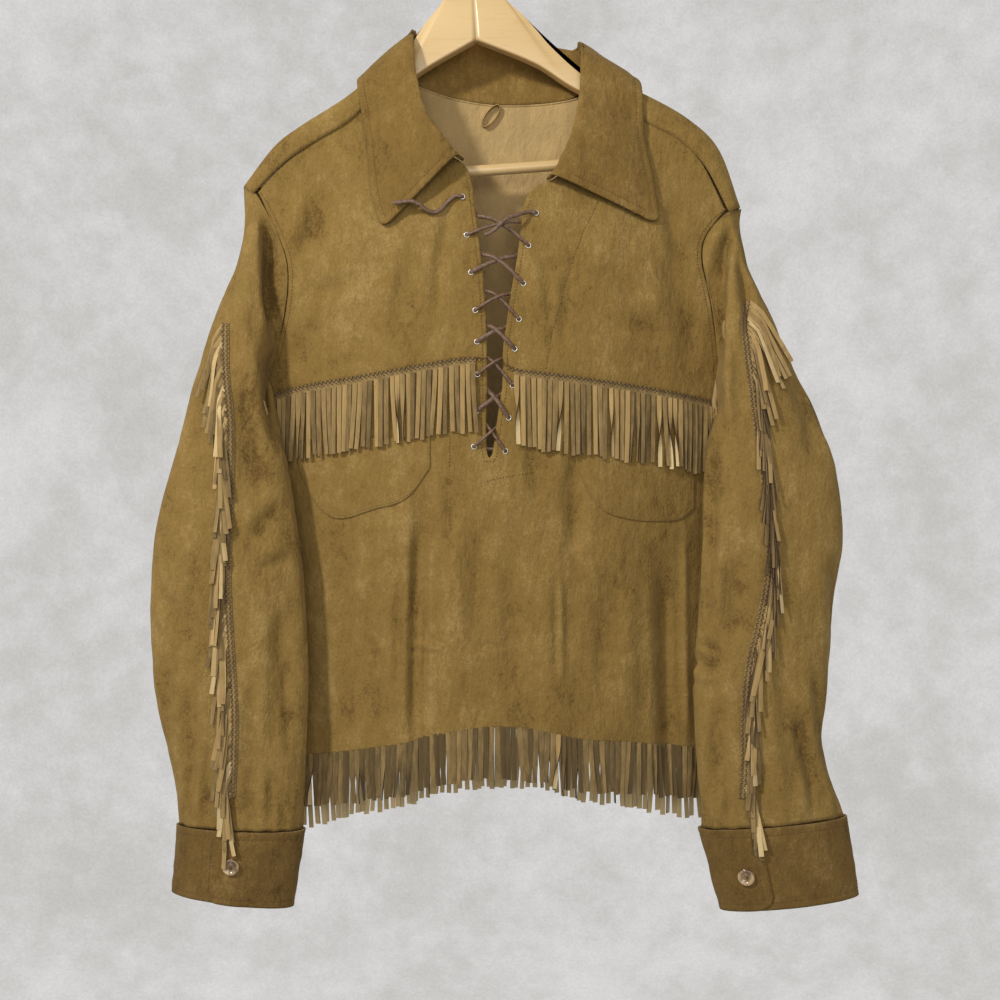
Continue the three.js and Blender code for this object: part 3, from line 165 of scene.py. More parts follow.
# seamX, seamZ, rollX, rollY, rollZ, edgeX, edgeZ, lay
COLLAR_STATIONS = table(
    (-3, -230, -9, -43, -229, -82, -300, -1), (-22, -217, -23, -42, -208, -92, -266, -1),
    (-42, -197, -37, -38, -185, -96, -232, -1), (-58, -167, -47, -27, -150, -101, -196, -1),
    (-70, -122, -51, -5, -101, -109, -145, 0), (-47, -145, -45, 20, -94, -97, -178, 1),
    (-12, -154.6, -14, 31, -89, -34, -188, 1), (26, -159.6, 26, 34, -90, 26, -192, 1),
    (66, -159.6, 68, 31, -93, 90, -194, 1), (104, -156, 100, 20, -103, 153, -190, 1),
    (126, -137, 106, -5, -113, 167, -146, 0), (114, -189, 105, -27, -165, 170, -196, -1),
    (101, -222, 99, -38, -202, 175, -228, -1), (83, -244, 90, -42, -229, 181, -262, -1),
    (75, -249, 80, -43, -248, 185, -293, -1),
)
COLLAR_STAND_OFF, COLLAR_STAND_SHARE, COLLAR_BULGE, COLLAR_CORNER = 3, 0.3, 4, 14

# leftX, leftZ, rightX, rightZ
EYELETS = table(
    (-4.9, -267, 65.3, -282.7), (-0.6, -304, 58, -314.3), (3.6, -340, 53.2, -350.6),
    (7.6, -376, 48.9, -384.6), (9.2, -406, 45, -412.8), (9.6, -437, 43, -447.5),
    (8.6, -472, 39.2, -478.1), (6.3, -505.5, 36.1, -509.7),
)
# x, z, out
LACE_END_LEFT = table(
    (-9.3, -267, 3.1), (-14, -268.5, 2.8), (-20, -273, 2.4), (-25, -279, 2.6), (-31, -283, 3.6),
    (-38, -282, 7), (-45, -277, 10.6), (-53, -273.5, 13), (-62, -274, 13.4), (-70, -276, 13.4),
)
LACE_END_RIGHT = table(
    (61.1, -282.7, 3.1), (56, -283.2, 4.4), (50, -285, 8), (43, -288.5, 10.5), (36, -293, 11.5),
    (30, -297.6, 11.5), (24, -302, 11), (17, -306.5, 10.5),
)
SLEEVE_SEAM_LEFT = table(
    (-230, -388), (-228, -432), (-223, -478), (-222, -524), (-223, -570), (-225, -616),
    (-224, -662), (-221, -708), (-218, -754), (-219, -800), (-222, -836),
)
SLEEVE_SEAM_RIGHT = table(
    (268, -366), (264, -396), (268, -440), (273, -486), (279, -532), (284, -578), (283, -624),
    (275, -668), (265, -712), (261, -760), (261, -806), (259, -836),
)

# ---- curves and faces of the jacket ----


def ease(value):
    """Smooth step: 3 v^2 - 2 v^3 of the value held between 0 and 1."""
    v = np.clip(value, 0.0, 1.0)
    return v * v * (3 - 2 * v)


def mix(a, b, f):
    """Straight blend: a at f = 0 and b at f = 1."""
    return a + (b - a) * f


def column(values, f):
    """A Catmull-Rom curve through evenly spaced values, read at f from 0 to 1."""
    last = len(values) - 1
    place = np.clip(f, 0, 1) * last
    i = np.minimum(np.floor(place).astype(int), last - 1)
    t = place - i
    ends = [2 * values[0] - values[1]], values, [2 * values[-1] - values[-2]]
    padded = np.concatenate(ends)
    a, b, c, d = (padded[i + k] for k in range(4))
    return b + 0.5 * t * (c - a + t * (2 * a - 5 * b + 4 * c - d + t * (3 * (b - c) + d - a)))


def height_at(line, x):
    """The height of a line of x, z rows at x, on the same curve as column()."""
    i = np.clip(np.searchsorted(line[:, 0], x, side="right") - 1, 0, len(line) - 2)
    f = (x - line[i, 0]) / (line[i + 1, 0] - line[i, 0])
    return column(line[:, 1], (i + f) / (len(line) - 1))


def along(line, f):
    """The point of a line of x, z rows at f."""
    return column(line[:, 0], f), column(line[:, 1], f)


def torso_middle(z):
    return mix(CHEST_MIDDLE, HEM_MIDDLE, np.clip((z - ARMPIT_Z) / (HEM_Z - ARMPIT_Z), 0, 1))


def torso_half(z):
    return mix(CHEST_HALF, HEM_HALF, np.clip((z - ARMPIT_Z) / (HEM_Z - ARMPIT_Z), 0, 1))


def folds_at(folds, x, z):
    """Long folds: a bell curve across each, faded in below its top and out near its bottom."""
    total = np.zeros(np.broadcast(x, z).shape)
    for at, top, bottom, width, depth in folds:
        down = (top - z) / (top - bottom)
        fade = ease(down * 4) * ease((1.15 - down) * 4)
        total = total + depth * fade * np.exp(-(((x - at) / width) ** 2))
    return total


def creases_at(creases, x, z):
    """Creases from (x0, z0) to (x1, z1), bowed by bend: a trough with one raised lip.

    Each fades out at its ends.
    """
    total = np.zeros(np.broadcast(x, z).shape)
    for x0, z0, x1, z1, bend, width, depth in creases:
        length = math.hypot(x1 - x0, z1 - z0)
        s = ((x - x0) * (x1 - x0) + (z - z0) * (z1 - z0)) / length**2
        q = ((x - x0) * (z1 - z0) - (z - z0) * (x1 - x0)) / length
        q = (q - bend * 4 * s * (1 - s)) / width
        fade = ease(3.2 * np.minimum(s, 1 - s))
        lip = LIP_SHARE * np.exp(-((q - LIP_PLACE) ** 2))
        total = total + CREASE_DEPTH * depth * fade * (np.exp(-q * q) - lip)
    return total


def drift(x, z, size, seed):
    """Smooth value noise: seeded heights on a lattice of that size, blended by smooth steps."""
    cells = 64
    lattice = np.random.default_rng(seed).uniform(-1, 1, (cells, cells))
    gx, gz = np.asarray(x) / size + 1000.0, np.asarray(z) / size + 1000.0
    ix, iz = np.floor(gx).astype(int), np.floor(gz).astype(int)
    fx, fz = ease(gx - ix), ease(gz - iz)
    low = mix(lattice[ix % cells, iz % cells], lattice[(ix + 1) % cells, iz % cells], fx)
    high = mix(lattice[ix % cells, (iz + 1) % cells], lattice[(ix + 1) % cells, (iz + 1) % cells], fx)
    return mix(low, high, fz)


def lens(depths, x, z):
    """How far a face stands out: its edge depth plus the rest times 1 - across^LENS_POWER."""
    f = np.clip((FRONT_DEPTH_TOP - z) / (FRONT_DEPTH_TOP - HEM_Z), 0, 1)
    across = np.minimum(np.abs(x - torso_middle(z)) / torso_half(z), 1)
    edge = column(depths[:, 1], f)
    return edge + (column(depths[:, 0], f) - edge) * (1 - across**LENS_POWER)


def front_y(x, z):
    """Outer face of the front: it rests on the hanger at the shoulders and falls forward below."""
    wide = np.maximum(np.abs(x - 27) - 75, 0)
    drop = np.maximum(-150 - 0.72 * wide - z, 0)
    full = 1 - np.exp(-drop / 60)
    base = -SHOULDER_REST - (lens(FRONT_DEPTH, x, z) - SHOULDER_REST) * full
    return base + folds_at(FRONT_FOLDS, x, z)


def back_y(x, z, ridge_y, ridge_z):
    """Outer face of the back below its ridge over the hanger."""
    drop = np.maximum(ridge_z - z, 0)
    rest = SHOULDER_REST * (1 - np.exp(-drop / 2.5)) * (1 - np.clip(ridge_y / 15, 0, 1))
    full = 1 - np.exp(-drop / 60)
    face = ridge_y + rest + (lens(BACK_DEPTH, x, z) - ridge_y - rest) * full
    return face - folds_at(BACK_FOLDS, x, z)


# Creases of the front, as the photograph shows them: x0, z0, x1, z1, bend, width, depth
FRONT_CREASES = table(
    (-45, -545, -50, -822, 4, 5, 2.6), (-37, -560, -39, -800, -3, 3, -1.4),
    (-58, -600, -62, -760, 5, 6, 1.2), (104, -500, 108, -610, 3, 9, 2.4),
    (87, -618, 88, -735, -2, 3.4, -1.6), (99, -560, 118, -650, 6, 8, 1.2),
    (192, -600, 199, -835, 4, 9, 3.2), (212, -560, 216, -820, 2, 4, -1.6),
    (170, -640, 176, -800, 3, 10, 1.4), (-128, -560, -118, -800, -6, 12, 2.4),
    (-96, -620, -86, -790, 5, 9, 1.3), (16, -560, 12, -700, 4, 12, 1.2),
    (36, -590, 44, -760, -5, 10, 1.3), (140, -600, 132, -770, 5, 11, 1.1),
    (-20, -520, -24, -640, -3, 5, 0.9), (60, -500, 70, -570, 3, 5, 0.8),
    (-10, -250, -30, -400, 5, 6, 0.9), (-50, -300, -66, -415, 4, 9, 1.0),
    (66, -300, 80, -430, -4, 6, 0.8), (98, -330, 92, -425, 3, 5, 0.8),
    (-120, -240, -150, -330, 8, 12, 1.4), (-150, -260, -168, -330, -4, 8, 1.2),
    (-100, -340, -160, -356, -6, 9, 1.0), (120, -330, 196, -350, 8, 12, 1.2),
    (196, -260, 214, -340, 5, 9, 1.8), (180, -300, 222, -430, -8, 14, 2.2),
    (150, -380, 200, -400, 4, 8, 0.9), (-140, -380, -170, -430, 5, 9, 1.4),
    (-60, -690, -20, -698, 2, 3, -0.5), (-96, -684, -80, -710, 3, 5, 0.6),
    (10, -690, 40, -694, 3, 4, 0.7), (120, -700, 165, -708, -3, 5, 0.6),
)
BACK_CREASES = table(
    (-110, -240, -60, -420, 10, 16, 3.2), (150, -250, 110, -430, -9, 16, 3.0),
    (-40, -300, -30, -520, 6, 12, 1.8), (90, -320, 84, -560, -6, 12, 1.8),
    (28, -420, 24, -780, 5, 13, 2.4), (-120, -480, -108, -790, -6, 12, 2.2),
    (176, -470, 168, -790, 6, 12, 2.4), (-160, -400, -110, -520, 6, 9, 1.6),
    (210, -400, 170, -520, -6, 9, 1.6), (60, -600, 66, -800, 4, 8, 1.5),
    (-60, -560, -66, -790, -4, 8, 1.5), (120, -640, 124, -800, 3, 6, 1.1),
)


def hide_waves(x, z, seed):
    """The uneven lie of a hide: broad swells, longer down than across, and a finer cockle."""
    return (
        1.1 * drift(x, z * 0.45, 34, seed) + 0.5 * drift(x, z * 0.5, 13, seed + 1)
        + 0.16 * drift(x, z * 0.45, 4.6, seed + 2)
    )


def front_relief(x, z):
    """How far the front is pressed in at a point: its creases and the lie of the hide."""
    return creases_at(FRONT_CREASES, x, z) + hide_waves(x, z, 11)


def back_relief(x, z):
    """The same for the back, pressed in towards the front."""
    return creases_at(BACK_CREASES, x, z) + hide_waves(x, z, 31)


def back_ridge(x):
    """The ridge of the back over the hanger at x: its depth and height."""
    order = np.linspace(0, 1, 400)
    ridge_x = column(BACK_TOP[:, 0], order)
    f = np.interp(x, ridge_x, order)
    return column(BACK_TOP[:, 1], f), column(BACK_TOP[:, 2], f)


def back_at(x, z):
    """The dressed back at a point of the view."""
    ridge_y, ridge_z = back_ridge(x)
    return back_y(x, z, ridge_y, ridge_z) - back_relief(x, z) * ease((ridge_z - z) / 40)


# ---- meshes ----


def new_object(name, points, quads, material, floats=None, face_floats=None):
    """A mesh piece from points in millimetres and four-cornered faces, with its attributes."""
    mesh = bpy.data.meshes.new(name)
    mesh.vertices.add(len(points))
    mesh.vertices.foreach_set("co", (np.asarray(points) * MM).astype(np.float32).ravel())
    quads = np.ascontiguousarray(quads, dtype=np.int32)
    mesh.loops.add(quads.size)
    mesh.loops.foreach_set("vertex_index", quads.ravel())
    mesh.polygons.add(len(quads))
    mesh.polygons.foreach_set("loop_start", np.arange(0, quads.size, 4, dtype=np.int32))
    mesh.update(calc_edges=True)
    mesh.polygons.foreach_set("use_smooth", np.ones(len(quads), dtype=bool))
    for key, values in (floats or {}).items():
        layer = mesh.attributes.new(key, "FLOAT", "POINT")
        layer.data.foreach_set("value", np.asarray(values, dtype=np.float32).ravel())
    for key, values in (face_floats or {}).items():
        layer = mesh.attributes.new(key, "FLOAT", "FACE")
        layer.data.foreach_set("value", np.asarray(values, dtype=np.float32).ravel())
    mesh.materials.append(material)
    piece = bpy.data.objects.new(name, mesh)
    bpy.context.scene.collection.objects.link(piece)
    return piece


def unit(vectors):
    """Vectors over their own lengths."""
    return vectors / np.maximum(np.linalg.norm(vectors, axis=-1, keepdims=True), 1e-9)


def stack(x, y, z):
    """Points from three arrays of one shape."""
    return np.stack(np.broadcast_arrays(x, y, z), axis=-1).astype(float)


def grid_normals(points, turn, closed=False):
    """Normals of a grid: the cross product of its steps along u and v, times turn."""
    if closed:
        du = np.roll(points, -1, axis=0) - np.roll(points, 1, axis=0)
    else:
        du = np.gradient(points, axis=0)
    return unit(np.cross(du, np.gradient(points, axis=1))) * turn


def smoothed(field, rounds=3):
    """A grid of vectors averaged with its neighbours a few times, the edges kept."""
    for _ in range(rounds):
        middle = field[1:-1, 1:-1] * 2 + field[:-2, 1:-1] + field[2:, 1:-1]
        middle = middle + field[1:-1, :-2] + field[1:-1, 2:]
        field = field.copy()
        field[1:-1, 1:-1] = middle / 6
    return field


def wall_faces(us, vs, turn, closed=False, split=None):
    """Faces of a wall whose outer grid comes first and its inner grid after it.

    split = (m, open rows): columns m - 1 and m are the two sides of a slit, and meet below it.
    """
    at = np.arange(us * vs).reshape(us, vs)
    if split is not None:
        m, is_open = split
        at[m, ~is_open] = at[m - 1, ~is_open]
    if closed:
        at = np.vstack([at, at[:1]])
    under = at + us * vs
    faces, inside = [], []

    def put(a, b, c, d, hidden):
        quads = np.stack([a.ravel(), b.ravel(), c.ravel(), d.ravel()], axis=1)
        faces.append(quads)
        inside.append(np.full(len(quads), float(hidden)))

    spans = np.arange(at.shape[0] - 1)
    if split is not None:
        spans = spans[spans != split[0] - 1]
    a, b = at[spans], at[spans + 1]
    put(a[:, :-1], b[:, :-1], b[:, 1:], a[:, 1:], 0)
    c, d = under[spans], under[spans + 1]
    put(c[:, :-1], c[:, 1:], d[:, 1:], d[:, :-1], 1)
    put(a[:, 0], c[:, 0], d[:, 0], b[:, 0], 0.5)
    put(a[:, -1], b[:, -1], d[:, -1], c[:, -1], 0.5)
    if not closed:
        put(at[0, :-1], at[0, 1:], under[0, 1:], under[0, :-1], 0.5)
        put(at[-1, :-1], under[-1, :-1], under[-1, 1:], at[-1, 1:], 0.5)
    if split is not None:
        m, is_open = split
        rows = np.flatnonzero(is_open[:-1] | is_open[1:])
        put(at[m - 1, rows], under[m - 1, rows], under[m - 1, rows + 1], at[m - 1, rows + 1], 0.5)
        put(at[m, rows], at[m, rows + 1], under[m, rows + 1], under[m, rows], 0.5)
    quads = np.concatenate(faces)
    return (quads if turn > 0 else quads[:, ::-1]), np.concatenate(inside)


def cloth(name, points, material, thick=WALL, turn=1, closed=False, split=None, press=None, hem=None):
    """A piece of cloth: its outer grid, an inner grid one thickness in, and its cut edges.

    press is how far each point was pushed in; from it the suede paints the nap lighter on rubbed ridges
    and darker with painted shade in the creases.
    hem marks the rows or columns of inner faces that keep the outer colour, as a turned edge does.
    """
    if split is None:
        normals = grid_normals(points, turn, closed)
    else:
        m, is_open = split
        halves = grid_normals(points[:m], turn), grid_normals(points[m:], turn)
        normals = np.concatenate(halves)
        joined = unit(normals[m - 1] + normals[m])
        for k in (m - 1, m):
            normals[k, ~is_open] = joined[~is_open]
    inner = points - unit(smoothed(normals)) * thick
    us, vs = points.shape[:2]
    quads, inside = wall_faces(us, vs, turn, closed, split)
    if hem is not None:
        count = (us if closed else us - 1) * (vs - 1)
        inside[count : 2 * count].reshape(-1, vs - 1)[hem] = 0
    wear = np.zeros((us, vs)) if press is None else press
    values = np.concatenate([wear.ravel(), np.zeros(us * vs)])
    everything = np.concatenate([points.reshape(-1, 3), inner.reshape(-1, 3)])
    used = np.zeros(len(everything), dtype=bool)
    used[quads.ravel()] = True
    renumber = np.cumsum(used) - 1
    return new_object(
        name, everything[used], renumber[quads], material,
        floats={"press": values[used]}, face_floats={"inside": inside},
    )


def ring_faces(rings, sides, capped=True):
    """Faces from each ring of points to the next, with a cap of four-cornered faces at both ends."""
    at = np.arange(rings * sides).reshape(rings, sides)
    following = np.roll(at, -1, axis=1)
    quads = np.stack([at[:-1], following[:-1], following[1:], at[1:]], axis=-1).reshape(-1, 4)
    if not capped:
        return quads
    k = np.arange(sides // 2 - 1)
    cap = np.stack([k, k + 1, sides - 2 - k, sides - 1 - k], axis=1)
    return np.concatenate([quads, cap[:, ::-1], cap + at[-1, 0]])


def sweep(path, radius_across, radius_out, sides=12, out=(0.0, -1.0, 0.0)):
    """A cord along a path: an ellipse carried by the frame that turns least, with rounded ends."""
    path = np.asarray(path, dtype=float)
    tangents = unit(np.gradient(path, axis=0))
    outs, out = [], np.asarray(out, dtype=float)
    for tangent in tangents:
        out = unit(out - tangent * out.dot(tangent))
        outs.append(out)
    outs = np.array(outs)
    across = np.cross(tangents, outs)
    angles = np.arange(sides) / sides * 2 * math.pi
    spokes = (
        radius_across * np.cos(angles)[None, :, None] * across[:, None]
        + radius_out * np.sin(angles)[None, :, None] * outs[:, None]
    )
    tips = [
        path[k] + tangents[k] * side * radius_out * 0.4 + spokes[k] * 0.6
        for k, side in ((0, -1), (-1, 1))
    ]
    rings = np.concatenate([tips[0][None], path[:, None] + spokes, tips[1][None]])
    return rings.reshape(-1, 3), ring_faces(len(rings), sides)[:, ::-1]


def join_shapes(shapes):
    """Points and faces of several shapes as one."""
    points, quads, start = [], [], 0
    for part_points, part_quads in shapes:
        points.append(np.asarray(part_points).reshape(-1, 3))
        quads.append(np.asarray(part_quads) + start)
        start += len(points[-1])
    return np.concatenate(points), np.concatenate(quads)


# ---- finishes ----


def node(tree, kind, inputs=None, **settings):
    """A shader node with its settings, and its inputs set or linked."""
    new = tree.nodes.new(kind)
    for key, value in settings.items():
        setattr(new, key, value)
    for key, value in (inputs or {}).items():
        socket = new.inputs[key]
        if isinstance(value, bpy.types.NodeSocket):
            tree.links.new(value, socket)
        else:
            socket.default_value = value
    return new


def rgb(red, green, blue):
    """A colour from its 0 to 255 values as seen, made linear."""
    return tuple(((v / 255 + 0.055) / 1.055) ** 2.4 for v in (red, green, blue)) + (1.0,)


def darker(colour, share):
    """A colour with that share of its light."""
    return tuple(c * share for c in colour[:3]) + (1.0,)


def noise(tree, place, scale, detail=3.0, rough=0.55, stretch=(1, 1, 1)):
    """A noise on object coordinates, in turns a metre, stretched along the axes."""
    spread = node(tree, "ShaderNodeMapping", {"Vector": place, "Scale": stretch})
    inputs = {"Vector": spread.outputs[0], "Scale": scale, "Detail": detail, "Roughness": rough}
    return node(tree, "ShaderNodeTexNoise", inputs).outputs["Fac"]


def span(tree, value, low, high, to_low=0.0, to_high=1.0):
    """The value carried from one range to another, and held inside it."""
    inputs = {0: value, 1: low, 2: high, 3: to_low, 4: to_high}
    return node(tree, "ShaderNodeMapRange", inputs, interpolation_type="SMOOTHSTEP").outputs[0]


def blend(tree, share, first, second):
    """Two colours mixed by a share."""
    inputs = {0: share, 6: first, 7: second}
    return node(tree, "ShaderNodeMix", inputs, data_type="RGBA").outputs[2]


def maths(tree, kind, first, second):
    return node(tree, "ShaderNodeMath", {0: first, 1: second}, operation=kind).outputs[0]


def attribute(tree, name):
    return node(tree, "ShaderNodeAttribute", attribute_name=name).outputs["Fac"]


def settle(shader, values):
    """Plain numbers and colours set on the shader's own sockets."""
    for key, value in values.items():
        shader.inputs[key].default_value = value


def raise_surface(tree, shader, height, strength, distance):
    """The fine relief of a finish: a bump of that height, at most distance metres deep."""
    inputs = {"Strength": strength, "Distance": distance, "Height": height}
    tree.links.new(node(tree, "ShaderNodeBump", inputs).outputs[0], shader.inputs["Normal"])


def start_material(name):
    made = bpy.data.materials.new(name)
    made.use_nodes = True
    tree = made.node_tree
    return made, tree, tree.nodes["Principled BSDF"], node(tree, "ShaderNodeTexCoord").outputs["Object"]


def suede(name, light, middle, dark, flesh, nap=1.0):
    """Napped suede: clouds of brushed nap, rubbed ridges lighter, painted shade darkening the creases,
    and a fine velvet grain.
    """
    made, tree, shader, place = start_material(name)
    clouds = noise(tree, place, 13, 4, 0.6, (1, 1, 0.8))
    patches = noise(tree, place, 42, 4, 0.62, (1, 1, 0.7))
    strokes = noise(tree, place, 150, 4, 0.65, (1, 1, 0.62))
    grain = noise(tree, place, 1100, 2, 0.7)
    fibres = noise(tree, place, 420, 3, 0.7, (1, 1, 0.85))
    # How far the cloth is pressed in sets its tone: ridges rubbed lighter, and painted shade darker in
    # the creases
    rub_and_crease_shade = span(tree, attribute(tree, "press"), -3.0, 7.0, 0.12, -0.13)
    level = span(tree, clouds, 0.3, 0.7, 0.22, 0.56)
    level = maths(tree, "ADD", level, span(tree, patches, 0.3, 0.72, -0.05, 0.23))
    level = maths(tree, "ADD", level, span(tree, strokes, 0.25, 0.75, -0.1, 0.16))
    level = maths(tree, "ADD", level, span(tree, fibres, 0.25, 0.75, -0.16, 0.16))
    level = maths(tree, "ADD", level, span(tree, grain, 0.2, 0.8, -0.14, 0.14))
    level = maths(tree, "ADD", level, rub_and_crease_shade)
    low = blend(tree, span(tree, level, 0.0, 0.5), dark, middle)
    colour = blend(tree, span(tree, level, 0.5, 1.1), low, light)
    inner = blend(tree, span(tree, patches, 0.3, 0.7), flesh, darker(flesh, 0.86))
    colour = blend(tree, attribute(tree, "inside"), colour, inner)
    tree.links.new(colour, shader.inputs["Base Color"])
    settle(shader, {
        "Roughness": 0.92, "Specular IOR Level": 0.18, "Sheen Weight": 0.14 * nap,
        "Sheen Roughness": 0.5, "Sheen Tint": rgb(236, 214, 166),
    })
    wrinkles = noise(tree, place, 85, 5, 0.66, (1, 1, 0.42))
    slack = noise(tree, place, 30, 3, 0.6, (1, 1, 0.5))
    pebbles = noise(tree, place, 380, 3, 0.65, (1, 1, 0.75))
    height = maths(tree, "ADD", wrinkles, maths(tree, "MULTIPLY", pebbles, 0.3))
    height = maths(tree, "ADD", height, maths(tree, "MULTIPLY", grain, 0.16))
    height = maths(tree, "ADD", height, maths(tree, "MULTIPLY", slack, 1.6))
    raise_surface(tree, shader, height, 0.8, 0.0034)
    return made


def strand_suede(name, face, flesh, edge):
    """Cut strands: each has its own tone, its flesh side is paler, and its cut edges are painted dark as
    the shade in the gaps between strands.
    """
    made, tree, shader, place = start_material(name)
    tone = attribute(tree, "tone")
    streaks = noise(tree, place, 260, 3, 0.6, (1, 1, 0.25))
    grain = noise(tree, place, 1300, 2, 0.7)
    level = maths(tree, "ADD", tone, span(tree, streaks, 0.25, 0.75, -0.12, 0.14))
    level = maths(tree, "ADD", level, span(tree, grain, 0.2, 0.8, -0.07, 0.07))
    colour = blend(tree, span(tree, level, 0.0, 1.0), darker(face, 0.25), face)
    colour = blend(tree, span(tree, level, 0.85, 1.5), colour, flesh)
    under = blend(tree, span(tree, level, -0.2, 0.9), darker(flesh, 0.7), flesh)
    colour = blend(tree, attribute(tree, "flesh"), colour, under)
    # The cut edges take the dark edge colour: painted shade for the gaps between the strands
    colour = blend(tree, attribute(tree, "inside"), colour, edge)
    tree.links.new(colour, shader.inputs["Base Color"])
    settle(shader, {
        "Roughness": 0.88, "Specular IOR Level": 0.2, "Sheen Weight": 0.16, "Sheen Roughness": 0.5,
    })
    raise_surface(tree, shader, maths(tree, "ADD", streaks, grain), 0.5, 0.0006)
    return made


def plain_leather(name, colour, dark, rough=0.6, scale=400):
    """Smooth lace leather or thread: a mottled colour with a fine pitted surface."""
    made, tree, shader, place = start_material(name)
    mottle = noise(tree, place, scale, 3, 0.6)
    colour = blend(tree, span(tree, mottle, 0.25, 0.75), dark, colour)
    tree.links.new(colour, shader.inputs["Base Color"])
    settle(shader, {"Roughness": rough})
    raise_surface(tree, shader, mottle, 0.4, 0.0003)
    return made


def varnished_wood(name):
    """Pale varnished wood: long grain lines along the arms, with darker late-wood bands."""
    made, tree, shader, place = start_material(name)
    warp = noise(tree, place, 9, 3, 0.5, (0.35, 1, 1))
    lines = noise(tree, place, 120, 5, 0.62, (0.05, 1, 1))
    pores = noise(tree, place, 900, 2, 0.6, (0.05, 1, 1))
    base = blend(tree, span(tree, warp, 0.3, 0.7), rgb(208, 174, 116), rgb(224, 192, 136))
    colour = blend(tree, span(tree, lines, 0.52, 0.72, 0, 0.55), base, rgb(203, 160, 98))
    colour = blend(tree, span(tree, pores, 0.6, 0.75, 0, 0.3), colour, rgb(170, 126, 74))
    tree.links.new(colour, shader.inputs["Base Color"])
    settle(shader, {"Roughness": 0.36, "Coat Weight": 0.25, "Coat Roughness": 0.18})
    raise_surface(tree, shader, lines, 0.15, 0.0003)
    return made


def metal(name, colour, rough):
    made, tree, shader, place = start_material(name)
    smears = span(tree, noise(tree, place, 300, 3), 0.3, 0.7, rough * 0.7, rough * 1.3)
    tree.links.new(smears, shader.inputs["Roughness"])
    settle(shader, {"Base Color": colour, "Metallic": 1.0})
    return made


def horn(name):
    """A translucent brown button: cloudy streaks under a hard gloss."""
    made, tree, shader, place = start_material(name)
    streaks = noise(tree, place, 170, 4, 0.65, (1, 1, 0.35))
    colour = blend(tree, span(tree, streaks, 0.35, 0.68), rgb(88, 60, 34), rgb(196, 164, 116))
    tree.links.new(colour, shader.inputs["Base Color"])
    settle(shader, {
        "Roughness": 0.16, "Coat Weight": 0.6, "Coat Roughness": 0.08,
        "Subsurface Weight": 0.15, "Subsurface Scale": 0.002,
    })
    return made


body_suede = suede(
    "body suede", rgb(163, 134, 80), rgb(136, 108, 55), rgb(98, 73, 34), rgb(192, 162, 110),
)
sleeve_suede = suede(
    "sleeve suede", rgb(165, 136, 82), rgb(138, 110, 57), rgb(96, 72, 34), rgb(174, 145, 97),
)
# The collar's inner side gets a dark colour, well below the pale flesh of the other pieces: painted
# shade in the hollow of the collar
collar_suede = suede(
    "collar suede", rgb(152, 123, 69), rgb(126, 98, 48), rgb(90, 65, 28), rgb(106, 78, 37), 1.2,
)
# The third colour, a dark brown, is for the strands' cut edges: painted shade in the gaps between them
fringe_suede = strand_suede("fringe suede", rgb(176, 145, 92), rgb(216, 190, 138), rgb(66, 47, 28))
# The cuffs get a darker copy of the sleeve suede: painted shade, for the light that falls off low on the
# sleeves
shaded_cuff_suede = suede("cuff suede with painted shade", rgb(142, 114, 65), rgb(112, 86, 43), rgb(76, 55, 26), rgb(174, 145, 97))
lace_leather = plain_leather("lace leather", rgb(132, 102, 80), rgb(82, 59, 44), 0.55)
thread = plain_leather("thread", rgb(112, 84, 42), rgb(78, 54, 26), 0.7, 900)
whip_thread = plain_leather("whip thread", rgb(78, 55, 31), rgb(36, 24, 14), 0.7, 900)
# The pocket rows get pale thread: partly the thread's own colour, partly a painted highlight along the
# pocket rims
pale_highlight_thread = plain_leather("pocket thread", rgb(158, 129, 76), rgb(120, 94, 50), 0.8, 900)
hanger_wood = varnished_wood("hanger wood")
bright_ring = metal("eyelet metal", rgb(186, 182, 172), 0.34)
hook_steel = metal("hook steel", rgb(205, 206, 208), 0.16)
button_horn = horn("button horn")

# ---- the panels of the body ----


def coons(left, right, lower, upper, us, vs):
    """A patch of four edges: the blend of its sides plus its ends minus the blend of its corners.

    left and right are x, z arrays along v, lower and upper along u.
    """
    u, v = us[:, None], vs[None, :]
    made = []
    for axis in (0, 1):
        corners = mix(mix(left[axis][0], right[axis][0], u), mix(left[axis][-1], right[axis][-1], u), v)
        sides = mix(left[axis][None, :], right[axis][None, :], u)
        ends = mix(lower[axis][:, None], upper[axis][:, None], v)
        made.append(sides + ends - corners)
    return made


def yoke(arm_line, neck_line, shoulder_line, outward, us, vs):
    """A front yoke between its armhole, neck with slit, chest seam and shoulder."""
    top = 1 / (len(arm_line) - 1)
    arm_x, arm_z = along(arm_line, mix(1, top, vs))
    arm_x = arm_x - outward * GAP
    neck_x, neck_z = along(neck_line, vs)
    arm_x = arm_x + outward * 8 * ease(1 - vs / 0.4)
    seam_x = mix(arm_x[0], neck_x[0], us)
    seam_z = height_at(CHEST_SEAM, seam_x) + GAP / 2
    shoulder_x, shoulder_z = along(shoulder_line, us)
    shoulder_x = shoulder_x + (arm_x[-1] - shoulder_line[0, 0]) * (1 - us)
    shoulder_z = shoulder_z + (arm_z[-1] - shoulder_line[0, 1]) * (1 - us)
    arm_z = arm_z + (seam_z[0] - arm_z[0]) * (1 - vs) ** 4
    neck_z = neck_z + (seam_z[-1] - neck_z[0]) * (1 - vs) ** 4
    return coons((arm_x, arm_z), (neck_x, neck_z), (seam_x, seam_z), (shoulder_x, shoulder_z), us, vs)


